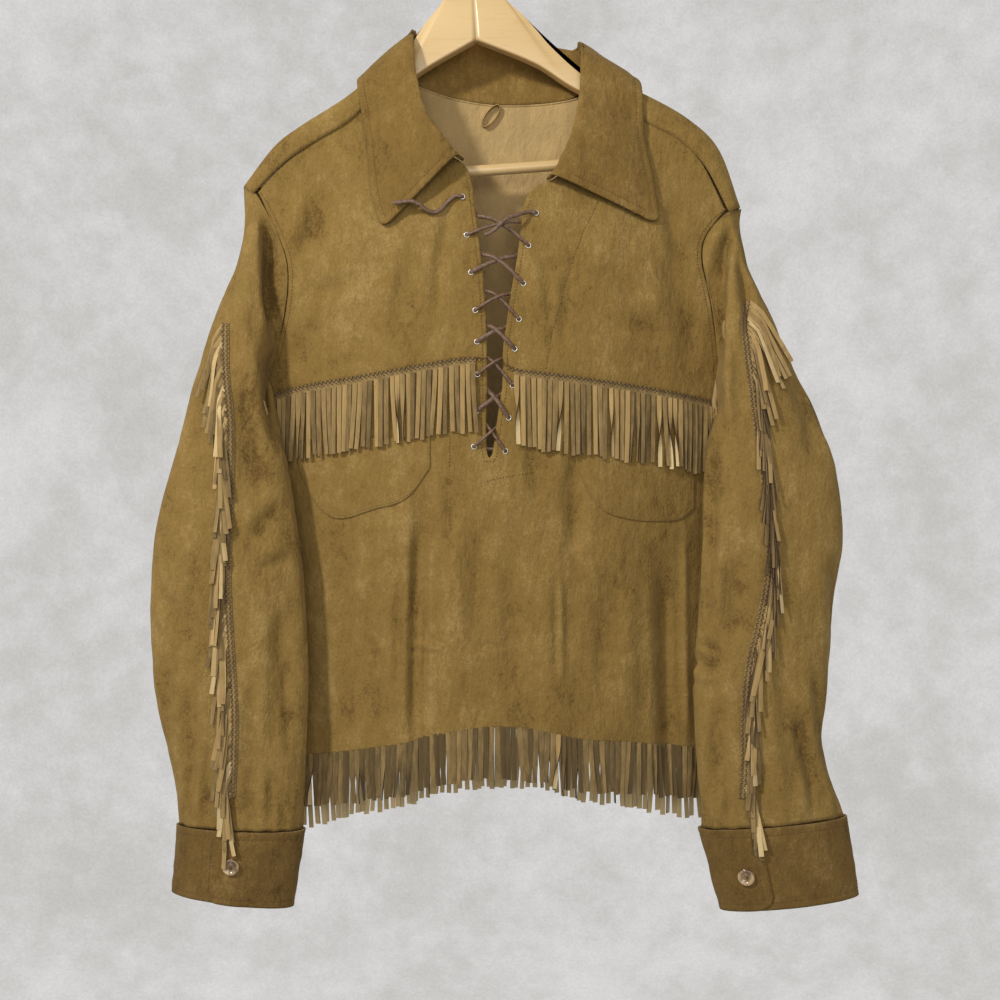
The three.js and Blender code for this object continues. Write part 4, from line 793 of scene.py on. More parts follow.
def line_distance(x, z, line):
    """The distance from each point to a broken line of x, z rows."""
    nearest = np.full(np.broadcast(x, z).shape, 1e9)
    for (x0, z0), (x1, z1) in zip(line[:-1], line[1:]):
        dx, dz = x1 - x0, z1 - z0
        s = np.clip(((x - x0) * dx + (z - z0) * dz) / (dx * dx + dz * dz + 1e-9), 0, 1)
        nearest = np.minimum(nearest, np.hypot(x - x0 - s * dx, z - z0 - s * dz))
    return nearest


def seam_press(x, z, line, depth=0.7, width=1.8):
    """A seam's ditch: depth times a bell curve of the distance, puckered along its length."""
    gap = line_distance(x, z, line)
    pucker = 0.25 * np.sin(0.9 * x + 0.9 * z) * np.exp(-((gap / 7) ** 2))
    return depth * np.exp(-((gap / width) ** 2)) + pucker


def fine(count, low=0.0, high=1.0):
    return np.linspace(low, high, count)


def px(*points):
    """Points measured on the photograph, in its pixels, as x, z rows in the plane of the front."""
    return np.array([(31 + 0.95 * (x - 500), -81 - 0.95 * y) for x, y in points], dtype=float)


# The inner stitch lines of the front: each is x, z rows
FACING_LEFT = px((449, 470), (450, 440), (447, 372))
FACING_RIGHT = px((599, 200), (583, 232), (573, 259), (565, 285), (558, 312), (551, 336), (546, 369))
FACING_LOWER = px((483, 482), (505, 477), (530, 473), (532, 458), (533, 443))
FACING_LOWER_LEFT = px((450, 438), (450, 467))

# Rubbed or pressed places where layers meet under the hide: line, depth, width
front_seams = [
    (FACING_RIGHT, 0.35, 1.6), (FACING_LOWER, -0.4, 1.2), (FACING_LOWER_LEFT, 0.3, 1.2),
]


def front_press(x, z):
    """All that presses the front in: creases, the lie of the hide and the stitched lines."""
    total = front_relief(x, z)
    for line, depth, width in front_seams:
        total = total + seam_press(x, z, line, depth, width)
    return total


def on_front(x, z, out=0.0):
    """Points on the dressed front, moved forward by out."""
    return stack(x, front_y(x, z) + front_press(x, z) - out, z)


def build_yoke(name, arm_line, neck_line, shoulder_line, outward):
    us, vs = fine(120), fine(130)
    x, z = yoke(arm_line, neck_line, shoulder_line, outward, us, vs)
    press = front_press(x, z)
    # The lower edge rolls under a little where it is whipped to the fringe
    roll = 0.9 * np.exp(-(z - height_at(CHEST_SEAM, x)) / 2.2)
    shoulder_x, shoulder_z = along(shoulder_line, fine(90))
    rim = line_distance(x, z, np.stack([shoulder_x, shoulder_z], axis=1))
    points = stack(x, front_y(x, z) + press * ease(rim / 12) + roll, z)
    # The top tucks up under the lap of the back
    tuck = 4.0 * ease((vs[None, :] - 0.9) / 0.1)
    points[..., 2] += tuck
    return cloth(name, points, body_suede, turn=-outward, press=press + roll, hem=slice(0, 14))


yoke_left = build_yoke("yoke_left_suede", ARMHOLE_LEFT, SLIT_LEFT, SHOULDER_LEFT, -1)
yoke_right = build_yoke("yoke_right_suede", ARMHOLE_RIGHT, SLIT_RIGHT, SHOULDER_RIGHT, 1)


def build_lower_front():
    """The lower front: columns on each side of the neck slit, rows from the chest to the hem cut."""
    half, rows = 105, 170
    side_left, side_right = CHEST_MIDDLE - CHEST_HALF, CHEST_MIDDLE + CHEST_HALF
    v = fine(rows)
    level = mix(ARMPIT_Z, HEM_Z, v)
    columns = np.concatenate([
        fine(half, side_left, SLIT_LEFT[0, 0]), fine(half, SLIT_RIGHT[0, 0], side_right),
    ])
    share = (columns - side_left) / (2 * CHEST_HALF)
    x = torso_middle(level)[None, :] + (2 * share[:, None] - 1) * torso_half(level)[None, :]
    top, foot = height_at(CHEST_SEAM, x) - GAP / 2, height_at(HEM_LINE, x)
    z = mix(top, foot, v[None, :])
    # The two middle columns follow the slit's edges, and meet below its end
    order = np.argsort(SLIT_END[:, 0])
    slit_z = z[half - 1]
    edges = [np.interp(slit_z, SLIT_END[order, 0], SLIT_END[order, k]) for k in (1, 2)]
    is_open = slit_z > SLIT_END[0, 0]
    middle = mix(edges[0], edges[1], 0.5)
    below = ease((SLIT_END[0, 0] - slit_z) / 60)
    plain = mix(x[half - 1], x[half], 0.5)
    edges = [np.where(is_open, edge, mix(middle, plain, below)) for edge in edges]
    spread = np.concatenate([fine(half) ** 3, fine(half)[::-1] ** 3])[:, None]
    shift = np.concatenate([
        np.repeat((edges[0] - x[half - 1])[None], half, axis=0),
        np.repeat((edges[1] - x[half])[None], half, axis=0),
    ])
    x = x + spread * shift
    z[half] = z[half - 1]
    press = front_press(x, z)
    points = stack(x, front_y(x, z) + press, z)
    return cloth("lower_front_suede", points, body_suede, turn=-1, split=(half, is_open), press=press)


lower_front = build_lower_front()


def back_arm_x(line, f):
    """The armhole behind: nearer to a straight line than in front."""
    return mix(column(line[:, 0], f), mix(line[0, 0], line[-1, 0], f), BACK_ARMHOLE)


def build_back():
    """The back: from its lap on the front over the hanger, and down to the hem cut."""
    lap = 0.04
    u = fine(170)[:, None]
    v = np.concatenate([fine(13, 0, lap), lap + (1 - lap) * fine(190)[1:] ** 1.15])[None, :]
    top = [column(BACK_TOP[:, k], u) for k in range(6)]
    down = np.clip((v - lap) / (1 - lap), 0, 1)
    first, last = BACK_TOP[0, 0], BACK_TOP[-1, 0]
    share = (top[0] - first) / (last - first)
    foot = height_at(HEM_LINE, HEM_MIDDLE + (2 * share - 1) * HEM_HALF) - BACK_HEM_DROP
    z = mix(top[2], foot, down)
    sides = []
    for line, sign in ((ARMHOLE_LEFT, -1), (ARMHOLE_RIGHT, 1)):
        order = fine(200)
        f = np.interp(-z, -column(line[:, 1], order), order)
        by_arm = back_arm_x(line, f) - sign * GAP
        sides.append(np.where(z > ARMPIT_Z, by_arm, torso_middle(z) + sign * torso_half(z)))
    # Above the armpit the edges run on under the sleeves, and turn in towards the front
    under = TUCK_BEHIND * ease((-270 - z) / 40) * ease((z - ARMPIT_Z) / 14)
    x = mix(sides[0] - under, sides[1] + under, share)
    past = np.maximum(0, sides[0] - x) + np.maximum(0, x - sides[1])
    press = back_relief(x, z) * ease(down * 9)
    y = back_y(x, z, top[1], top[2]) - press - 0.3 * past
    angle = (1 - np.minimum(v / lap, 1)) * math.pi / 2
    over = v <= lap
    bend = (1 - np.cos(angle)) ** 1.2
    x = np.where(over, mix(top[0], top[3], bend), x)
    y = np.where(over, mix(top[1], top[4], np.sin(angle) ** 0.6), y)
    z = np.where(over, mix(top[2], top[5], bend), z)
    on_yoke = ease(1.7 - 3.2 * v / lap) * (top[4] < 0)
    y = np.where(over, mix(y, front_y(x, z) - WALL - GAP, on_yoke), y)
    return cloth("back_suede", stack(x, y, z), body_suede, turn=1, press=np.where(over, 0, press))


back_panel = build_back()

# ---- sleeves and cuffs ----


def armhole(line, t):
    """The armhole loop: from the shoulder point down the front and back up behind."""
    front = t <= 0.5
    f = np.where(front, 2 * t, 2 - 2 * t)
    x = np.where(front, column(line[:, 0], f), back_arm_x(line, f))
    z = column(line[:, 1], f)
    face = np.where(front, front_y(x, z), back_y(x, z, 0, line[0, 1]))
    y = mix(face, (FRONT_SIDE_Y + BACK_SIDE_Y) / 2, ease((f - 0.9) / 0.1)) * ease(f / 0.09)
    return stack(x, y, z)


def tube_at(rows, t, a):
    """A tube's section at a: an ellipse from its outer edge, over its front, to its inner edge."""
    out_x, out_z, in_x, in_z, y, depth = (column(rows[:, k], a) for k in range(6))
    angle = 2 * math.pi * t
    x = (out_x + in_x) / 2 + (out_x - in_x) / 2 * np.cos(angle)
    z = (out_z + in_z) / 2 + (out_z - in_z) / 2 * np.cos(angle)
    return stack(x, y - depth * np.sin(angle), z)


def sleeve_at(rows, line, outward, t, a):
    """A sleeve's plain face: the armhole loop blended into the tube over its head."""
    angle = 2 * math.pi * t
    through = unit(stack(0 * angle, -8 * np.sin(angle), np.cos(angle)))
    loop = armhole(line, t) + through * (WALL + GAP)
    loop[..., 0] += outward * GAP
    loop[..., 0] += outward * HEAD_SHIFT * ease(1 - 9 * np.minimum(t, 1 - t))
    loop[..., 0] += outward * BACK_SHIFT * np.maximum(0, -np.sin(angle))
    share = ease(a / SLEEVE_HEAD)[..., None]
    roll = (1.3 * np.exp(-((a / 0.006) ** 2)) * ease(12 * np.minimum(t, 1 - t)))[..., None]
    return mix(loop, tube_at(rows, t, a), share) - through * roll


# x0, z0, x1, z1, bend, width, depth
CREASES_LEFT = table(
    (-192, -272, -186, -402, 3, 8, 6.5), (-203, -276, -196, -420, -2, 5, -2.6),
    (-214, -262, -232, -380, 6, 9, 2.4), (-186, -400, -172, -520, 5, 9, 3.0),
    (-206, -430, -190, -560, 6, 12, 2.6), (-240, -430, -262, -520, -6, 10, 1.8),
    (-168, -560, -200, -600, 5, 8, 1.6), (-164, -610, -196, -628, 3, 7, 1.4),
    (-290, -640, -262, -700, -6, 9, 1.8), (-176, -640, -184, -800, -5, 10, 2.2),
    (-196, -700, -200, -850, 4, 7, 1.6), (-262, -720, -250, -850, 5, 9, 1.8),
    (-284, -700, -276, -800, 3, 7, 1.3), (-240, -780, -244, -866, 3, 5, 1.4),
    (-220, -800, -216, -866, 2, 5, 1.3), (-184, -810, -182, -868, 2, 4, 1.2),
    (-258, -800, -262, -864, 2, 4, 1.2), (-168, -700, -166, -800, 2, 5, 1.4),
)
CREASES_RIGHT = table(
    (257, -287, 243, -350, 3, 6, 3.2), (260, -312, 266, -410, -3, 6, 4.0),
    (244, -300, 240, -440, 4, 8, 4.5), (252, -330, 250, -520, 3, 5, -2.4),
    (236, -470, 232, -640, 3, 7, 2.6), (246, -560, 236, -690, 3, 6, -1.6),
    (300, -420, 330, -520, -8, 12, 2.4), (215, -704, 240, -716, 3, 6, 2.4),
    (219, -690, 236, -700, -2, 4, 1.4), (311, -742, 342, -852, 5, 8, 3.0),
    (296, -700, 318, -850, 5, 9, 2.0), (326, -700, 350, -840, 3, 6, 1.5),
    (236, -730, 232, -850, -3, 8, 2.2), (340, -600, 352, -700, -5, 9, 1.6),
    (276, -800, 272, -866, 2, 5, 1.4), (322, -800, 330, -864, 2, 5, 1.4),
    (246, -800, 248, -866, 2, 4, 1.2), (348, -780, 358, -850, 2, 5, 1.2),
    (260, -600, 252, -700, 4, 9, 1.6),
)


def dressed_sleeve(rows, line, outward, creases, seed, t, a):
    """The sleeve's face pressed in along its own normal by its creases, front and back."""
    points = sleeve_at(rows, line, outward, t, a)
    normals = grid_normals(points, outward, closed=True)
    x, z = points[..., 0], points[..., 2]
    front = ease(0.5 + 3 * np.sin(2 * math.pi * t))
    behind = creases_at(creases * np.array([1, 1, 1, 1, -1, 1.2, 0.85]), x + 6 * outward, z + 18)
    press = creases_at(creases, x, z) * front + behind * (1 - front)
    press = press * ease(a * 14) + hide_waves(x + 200 * (1 - front), z, seed) * ease(a * 20)
    gathers = 0.9 * np.sin(26 * math.pi * t + 3 * np.sin(6 * math.pi * t)) * ease((a - 0.93) / 0.07)
    press = press + gathers
    return points - normals * press[..., None], press


def build_sleeve(name, rows, line, outward, creases, seed):
    t = np.repeat(fine(131)[:-1, None], 190, axis=1)
    a = np.repeat(fine(190)[None, :] ** 1.15, 130, axis=0)
    points, press = dressed_sleeve(rows, line, outward, creases, seed, t, a)
    piece = cloth(
        name, points, sleeve_suede, turn=outward, closed=True, press=press,
        hem=(slice(None), slice(0, 10)),
    )
    return piece, points


sleeve_left, sleeve_left_grid = build_sleeve(
    "sleeve_left_suede", SLEEVE_LEFT, ARMHOLE_LEFT, -1, CREASES_LEFT, 51,
)
sleeve_right, sleeve_right_grid = build_sleeve(
    "sleeve_right_suede", SLEEVE_RIGHT, ARMHOLE_RIGHT, 1, CREASES_RIGHT, 71,
)


def cuff_at(rows, end, t, v):
    """A cuff's face: the tube's section moved out a little more with each turn."""
    share = 1 - (t - end) / LAP_TURNS
    face = tube_at(rows, t, v)
    out = unit(face - tube_at(rows, t + 0.5, v))
    return face + out * (LAP_PROUD + LAP_RISE * share)[..., None]


def cuff_press(rows, end, t, v, seed):
    face = cuff_at(rows, end, t, v)
    edge = 66 * v
    ditch = 0.5 * (np.exp(-(((edge - 6) / 1.5) ** 2)) + np.exp(-(((66 - edge - 6) / 1.5) ** 2)))
    x, z = face[..., 0], face[..., 2]
    return ditch + 0.8 * drift(x, z, 22, seed) + 0.4 * drift(x, z, 8, seed + 1)


def build_cuff(name, rows, end, outward, seed):
    """A strip once round the wrist, lapped over itself, with a rounded lower corner at its flap."""
    u, v = fine(150)[:, None], fine(34)[None, :]
    length, height, corner = 270.0, 68.0, 12.0
    to_end = np.clip(corner - (1 - u) * length, 0, corner)
    lower = 1 - (corner - np.sqrt(corner**2 - to_end**2)) / height
    t = np.broadcast_to(end + LAP_TURNS * (1 - u), (150, 34))
    v = v * lower
    press = cuff_press(rows, end, t, v, seed)
    out = unit(cuff_at(rows, end, t, v) - cuff_at(rows, end, t + 0.5, v))
    points = cuff_at(rows, end, t, v) - out * press[..., None]
    return cloth(name, points, shaded_cuff_suede, turn=-outward, press=press)


cuff_left = build_cuff("cuff_left_suede", CUFF_LEFT, LAP_LEFT_END, -1, 91)
cuff_right = build_cuff("cuff_right_suede", CUFF_RIGHT, LAP_RIGHT_END, 1, 95)

# ---- collar and pockets ----


def collar_at(u, v):
    """The collar stands up from the neck seam, rolls over and comes down as a leaf."""
    at = [column(COLLAR_STATIONS[:, k], u) for k in range(8)]
    seam_x, seam_z, roll_x, roll_y, roll_z, edge_x, edge_z, lay = at
    lay = np.sin(np.clip(lay, -1, 1) * math.pi / 2)
    corner = COLLAR_CORNER * np.abs(lay) * (1 - np.abs(lay))
    away = COLLAR_WALL + COLLAR_STAND_OFF

    def behind(x, z):
        ridge_y, ridge_z = back_ridge(x)
        return back_y(x, z, ridge_y, ridge_z)

    front = lay < 0
    seam_before = mix(0, front_y(seam_x, seam_z) - 1, -lay)
    seam_behind = mix(0, behind(seam_x, seam_z - 3) - WALL, lay)
    edge_before = mix(0, front_y(edge_x, edge_z) - away, -lay)
    edge_behind = mix(0, behind(edge_x, edge_z) + away, lay)
    seam = stack(seam_x, np.where(front, seam_before, seam_behind), seam_z)
    roll = stack(roll_x, roll_y, roll_z)
    edge = stack(edge_x, np.where(front, edge_before, edge_behind), edge_z)
    out = unit(stack(0 * lay, lay, 1 - np.abs(lay)))
    f = np.clip(v / COLLAR_STAND_SHARE, 0, 1)
    rise = COLLAR_BULGE * 0.4 * np.sin(math.pi * f) + corner * mix(0.4, 1, f)
    stand = mix(seam, roll, f[..., None]) + out * rise[..., None]
    f = np.clip((v - COLLAR_STAND_SHARE) / (1 - COLLAR_STAND_SHARE), 0, 1)
    fall = COLLAR_BULGE * np.sin(math.pi * f**0.6) + corner
    leaf = mix(roll, edge, f[..., None]) + out * fall[..., None]
    return np.where((v <= COLLAR_STAND_SHARE)[..., None], stand, leaf)


def build_collar():
    us, vs = 220, 72
    u, v = np.broadcast_arrays(fine(us)[:, None], fine(vs)[None, :])
    # The tips are rounded: near each end of the strip its leaf is cut a little shorter
    tip = np.clip(1 - np.minimum(u, 1 - u) * 640 / 15, 0, 1)
    v = v * (1 - 0.1 * (1 - np.sqrt(1 - 0.98 * tip**2)))
    points = collar_at(u, v)
    # The roll is rounded by averaging along v, a few rounds, near the fold
    near = np.exp(-(((v - COLLAR_STAND_SHARE) / 0.06) ** 2))[..., None]
    for _ in range(14):
        mean = points.copy()
        mean[:, 1:-1] = (points[:, :-2] + points[:, 2:] + 2 * points[:, 1:-1]) / 4
        points = mix(points, mean, near)
    normals = grid_normals(points, 1)
    rim = np.concatenate([points[0, 22:], points[1:-1, -1], points[-1, :21:-1]])
    rim = np.concatenate([mix(rim[:-1], rim[1:], f) for f in (0, 0.25, 0.5, 0.75)])
    flat = points.reshape(-1, 3)
    square = (flat**2).sum(axis=1)[:, None] + (rim**2).sum(axis=1)[None] - 2 * flat @ rim.T
    gap = np.sqrt(np.maximum(square.min(axis=1), 0)).reshape(us, vs)
    ditch = 0.55 * np.exp(-(((gap - 7.4) / 1.6) ** 2)) + 0.7 * np.exp(-((gap / 1.6) ** 2))
    x, z = points[..., 0] + 3 * points[..., 1], points[..., 2]
    press = ditch + drift(x, z, 30, 111) + 0.45 * drift(x, z, 11, 112) + 0.14 * drift(x, z, 4.4, 113)
    press = press * ease(v * 8)
    points = points - normals * press[..., None]
    return cloth("collar_leaf_suede", points, collar_suede, COLLAR_WALL, 1, press=press), points, gap


collar, collar_grid, collar_gap = build_collar()

# left, right, top, then the lower edge at even steps
POCKET_LEFT = (-167, -35, -497, table(-522, -556, -572, -574, -569, -564, -560, -549, -525))
POCKET_RIGHT = (103, 222, -504, table(-522, -554, -568, -573, -576, -577, -577, -575, -565))


def build_pocket(name, left, right, top, lower, seed):
    """A patch on the panel's own points: its rim lies down to the panel, its middle stands off."""
    u, v = np.broadcast_arrays(fine(70)[:, None], fine(44)[None, :])
    x = mix(left, right, u)
    z = mix(top, column(lower, u), v)
    span_z = top - column(lower, u)
    to_rim = np.minimum(np.minimum(u, 1 - u) * (right - left), (1 - v) * span_z)
    out = 0.9 + 0.5 * ease(to_rim / 3.0) - 0.3 * np.exp(-(((to_rim - 5) / 1.4) ** 2))
    press = front_press(x, z) + 0.3 * drift(x, z, 20, seed)
    points = stack(x, front_y(x, z) + press - out, z)
    return cloth(name, points, body_suede, 0.8, -1, press=press)


pocket_left = build_pocket("pocket_left_suede", *POCKET_LEFT, 121)
pocket_right = build_pocket("pocket_right_suede", *POCKET_RIGHT, 123)

# ---- fringe ----


def strands(root, across, out, down, length, width, lean, bow, twist, sections=12, thick=STRAND_THICK):
    """Flat strands cut from the cloth, worked out all at once.

    Strand k at s from 0 to 1: its middle is root + down * length * s + across * lean * s^1.6
    + out * bow * sin(pi * s), and its flat turns by twist * ease(s) round its own length.
    """
    s = fine(sections)[None, :, None]
    along_it = root[:, None] + down * length[:, None, None] * s
    along_it = along_it + across[:, None] * lean[:, None, None] * s**1.6
    along_it = along_it + out[:, None] * bow[:, None, None] * np.sin(math.pi * s)
    angle = twist[:, None, None] * ease(1.25 * s - 0.1)
    flat = np.cos(angle) * across[:, None] + np.sin(angle) * out[:, None]
    face = -np.sin(angle) * across[:, None] + np.cos(angle) * out[:, None]
    half = width[:, None, None] / 2 * (1 - 0.12 * s)
    cup = 0.18
    corners = [
        -flat * half, -flat * half * 0.2 + face * thick * cup, flat * half,
        flat * half - face * thick, -flat * half * 0.2 - face * thick * (1 - cup),
        -flat * half - face * thick,
    ]
    return along_it[:, :, None] + np.stack(corners, axis=2)


def strand_faces(count, sections, sides=6):
    """Faces of strands(): round each one, and two ends, with which faces are flesh or cut edge."""
    at = np.arange(count * sections * sides).reshape(count, sections, sides)
    following = np.roll(at, -1, axis=2)
    walls = np.stack([at[:, :-1], at[:, 1:], following[:, 1:], following[:, :-1]], axis=-1)
    side = np.array([0, 0, 1, 0, 0, 1.0])
    inside = np.broadcast_to(side, walls.shape[:3])
    ends = []
    for k, turn in ((0, 1), (-1, -1)):
        ring = at[:, k]
        for a, b, c, d in ((0, 1, 4, 5), (1, 2, 3, 4)):
            ends.append(np.stack([ring[:, a], ring[:, b], ring[:, c], ring[:, d]], axis=-1)[:, ::turn])
    quads = np.concatenate([walls.reshape(-1, 4)] + ends)
    return quads, np.concatenate([inside.ravel(), np.ones(4 * count)])


def fringe_piece(name, points, tone, band=None, turn=1, flesh=0.0):
    """Strands, with the narrow band that they are cut from, as one piece of flat facets."""
    count, sections, sides = points.shape[:3]
    quads, inside = strand_faces(count, sections, sides)
    tones = np.repeat(tone, sections * sides)
    parts, faces, marks = [points.reshape(-1, 3)], [quads], [inside]
    walls = count * (sections - 1) * sides
    under = [np.tile([0, 0, 0, flesh, flesh, 0], walls // sides), np.zeros(len(quads) - walls)]
    if band is not None:
        inner = band - grid_normals(band, turn) * STRAND_THICK
        band_quads, band_inside = wall_faces(*band.shape[:2], turn)
        parts += [band.reshape(-1, 3), inner.reshape(-1, 3)]
        faces.append(band_quads + len(parts[0]))
        marks.append(band_inside)
        under.append(np.zeros(len(band_quads)))
        tones = np.concatenate([tones, np.full(2 * band.shape[0] * band.shape[1], 0.45)])
    made = new_object(
        name, np.concatenate(parts), np.concatenate(faces), fringe_suede,
        floats={"tone": tones},
        face_floats={"inside": np.concatenate(marks), "flesh": np.concatenate(under)},
    )
    made.data.shade_flat()
    return made


def scatter(seed, count):
    """Seeded numbers from -1 to 1 for a row of strands."""
    return np.random.default_rng(seed).uniform(-1, 1, (8, count))


def hanging_fringe(
    name, x0, x1, count, root_line, length, lift, seed,
    behind=False, band_top=None, pale=0.1, shade=0.54, fill=0.85,
):
    """A level row: strands at even steps from x0 to x1, each with its own lean, twist and length."""
    r = scatter(seed, count)
    pitch = (x1 - x0) / count
    x = x0 + pitch * (np.arange(count) + 0.5 + 0.12 * r[0])
    z = root_line(x)
    sign = 1 if behind else -1
    skin = back_at if behind else (lambda a, b: front_y(a, b) + front_press(a, b))
    # Each strand hangs clear of the cloth that is behind it
    low = np.array([skin(x, z - length * s) * sign for s in (0, 0.3, 0.6, 0.95)])
    y = sign * (low[0] + lift + 0.5 * (r[1] + 1) * min(lift, 1))
    tip = sign * (low.max(axis=0) + lift + 0.7 + 0.9 * (r[1] + 1) * min(lift, 1))
    reach = length * (1 + 0.035 * r[2])
    down = stack(0 * x, (tip - y) / reach, -1 + 0 * x)[:, None]
    across = stack(0 * x - sign, 0 * x, 0 * x)
    out = stack(0 * x, sign + 0 * x, 0 * x)
    lean = 2.0 * r[3] + 2.4 * np.sin(0.45 * np.arange(count) + seed)
    flips = np.where(r[4] > 1 - 2 * pale, 2.7, 0) + np.where(r[4] < -0.72, 1.1, 0)
    twist = (0.35 * r[5] + flips) * np.sign(r[6] + 0.01)
    points = strands(
        stack(x, y, z + 1.0), across, out, down, reach, pitch * (fill + 0.07 * r[7]),
        lean, 1.2 + 0.8 * r[6], twist,
    )
    tone = shade + 0.28 * r[0] + np.where(flips > 2, 0.3, 0)
    band = None
    if band_top is not None:
        bx, bv = np.broadcast_arrays(fine(160, x0, x1)[:, None], fine(5)[None, :])
        bz = mix(root_line(bx), band_top(bx), bv)
        band = stack(bx, skin(bx, bz) + sign * (lift * 0.7 + STRAND_THICK * 0.4), bz)
    return fringe_piece(name, points, tone, band, -1 if behind else 1, 1.0)


def chest_root(x):
    return height_at(CHEST_SEAM, x) - 6.5


def chest_band_top(x):
    return height_at(CHEST_SEAM, x) + 0.8


def hem_root(x):
    return height_at(HEM_LINE, x)


def hem_back_root(x):
    return hem_root(x) - BACK_HEM_DROP


HEM_ENDS = HEM_MIDDLE - HEM_HALF, HEM_MIDDLE + HEM_HALF
chest_fringe_left = hanging_fringe(
    "chest_fringe_left_strands", -198, 8, 40, chest_root, 64, 1.7, 3,
    band_top=chest_band_top, pale=0.06,
)
chest_fringe_right = hanging_fringe(
    "chest_fringe_right_strands", 44, 240, 37, chest_root, 67, 1.7, 8,
    band_top=chest_band_top, pale=0.2,
)
# The front hem strands get a low, dark brown tone: partly their own colour, partly painted shade for the
# shadowed gaps between them
hem_front = hanging_fringe(
    "hem_front_strands", *HEM_ENDS, 80, hem_root, 50, 0.1, 14, pale=0.06, shade=0.22, fill=0.94,
)
hem_back = hanging_fringe(
    "hem_back_strands", *HEM_ENDS, 78, hem_back_root, 63, 0.1, 21,
    behind=True, pale=0.04, shade=0.4, fill=0.98,
)


def on_sleeve(grid, x, z):
    """The front of a dressed sleeve at x and z: the nearest points of its grid, weighed."""
    half = grid[: grid.shape[0] // 2 + 1].reshape(-1, 3)
    flat = np.stack([np.ravel(x), np.ravel(z)], axis=1)
    found = np.empty(len(flat))
    for start in range(0, len(flat), 400):
        part = flat[start : start + 400]
        gap = (half[None, :, 0] - part[:, :1]) ** 2 + (half[None, :, 2] - part[:, 1:]) ** 2
        near = np.argpartition(gap, 4, axis=1)[:, :4]
        weight = 1 / (np.take_along_axis(gap, near, axis=1) + 0.3)
        found[start : start + 400] = (half[near, 1] * weight).sum(axis=1) / weight.sum(axis=1)
    return found.reshape(np.shape(x))


def sleeve_fringe(name, grid, line, outward, count, seed, flare, lean_by, edge_on=0.0):
    """Strands leave the sleeve's seam outwards, turn down and lie over each other like shingles.

    lean_by gives how far each tip stands out to the side, from the top of the seam to its foot.
    """
    r = scatter(seed, count)
    f = (np.arange(count) + 0.5) / count
    x, z = along(line, f)
    s = fine(14)[None, :]
    side = np.interp(f, fine(len(lean_by)), lean_by)[:, None] + 8.5 * r[0][:, None]
    reach = (62 * (1 + 0.1 * r[1]))[:, None]
    wave = 1.8 * r[2][:, None] * np.sin(3.1 * s)
    px_ = x[:, None] + outward * (2 + 5 * ease(s * 3.5) + side * s**1.1 + wave)
    pz = z[:, None] - reach * s**1.1 + 1.0
    edge = grid[:, :, 0].max() if outward > 0 else grid[:, :, 0].min()
    held = np.minimum(px_ * outward, edge * outward) * outward
    py = on_sleeve(grid, held, pz) - (1.2 + 4.5 * s + 1.6 * (r[3][:, None] + 1) * s)
    middle = stack(px_, py, pz)
    turn = math.pi / 2 * ease(s * 4)
    spin = (0.6 * r[6] + edge_on * np.exp(-(((f - 0.42) / 0.22) ** 2)))[:, None] * ease(s * 2)
    along_strand = unit(np.gradient(middle, axis=1))
    flat = stack(np.sin(turn) * np.cos(spin) * outward, np.sin(turn) * np.sin(spin), np.cos(turn))
    flat = unit(flat - along_strand * (flat * along_strand).sum(axis=-1, keepdims=True))
    face = np.cross(flat, along_strand)
    face = face * np.where(face[:, 7:8, 1:2] > 0, -1.0, 1.0)
    half = flat * 2.2 * (1 + 0.08 * r[7])[:, None, None]
    corners = [
        -half, -half * 0.2 + face * 0.15, half,
        half - face, -half * 0.2 - face * 0.85, -half - face,
    ]
    points = middle[:, :, None] + np.stack(corners, axis=2)
    handed = (np.cross(half, face) * along_strand).sum(axis=-1)[:, 7] < 0
    points = np.where(handed[:, None, None, None], points[:, :, ::-1], points)
    tone = 0.56 + 0.32 * r[3] + np.where(r[5] > 0.45, 0.62, 0) * flare
    band_f, band_v = np.broadcast_arrays(fine(130)[:, None], fine(5, -4.2, 4.2)[None, :])
    bx, bz = along(line, band_f)
    bx = bx + outward * band_v
    band = stack(bx, on_sleeve(grid, bx, bz) - 1.3 * (1 - (band_v / 8) ** 2), bz)
    return fringe_piece(name, points, tone, band, outward)


sleeve_fringe_left = sleeve_fringe(
    "sleeve_fringe_left_strands", sleeve_left_grid, SLEEVE_SEAM_LEFT, -1, 76, 33, 0.9,
    (13, 8, 1, -2, 2, 2, 3, 6, 6, 3, -5),
)
sleeve_fringe_right = sleeve_fringe(
    "sleeve_fringe_right_strands", sleeve_right_grid, SLEEVE_SEAM_RIGHT, 1, 80, 37, 0.8,
    (32, 15, 3, 0, -1, -3, -7, -7, -2, 4, 8), 1.15,
)

# ---- stitches ----


def resample(path, pitch):
    """Points at even steps of pitch along a path, with the path's direction at each."""
    path = np.asarray(path, dtype=float)
    run = np.concatenate([[0], np.cumsum(np.linalg.norm(np.diff(path, axis=0), axis=1))])
    places = np.arange(pitch / 2, run[-1], pitch)
    points = np.stack([np.interp(places, run, path[:, k]) for k in range(3)], axis=1)
    step = np.stack([np.interp(places + 0.5, run, path[:, k]) for k in range(3)], axis=1) - points
    return points, unit(step)


# place along a stitch, size and rise of each of its rings
STITCH_RINGS = (-0.5, 0.35, -0.5), (-0.22, 1.0, 0.6), (0.22, 1.0, 0.6), (0.5, 0.35, -0.5)


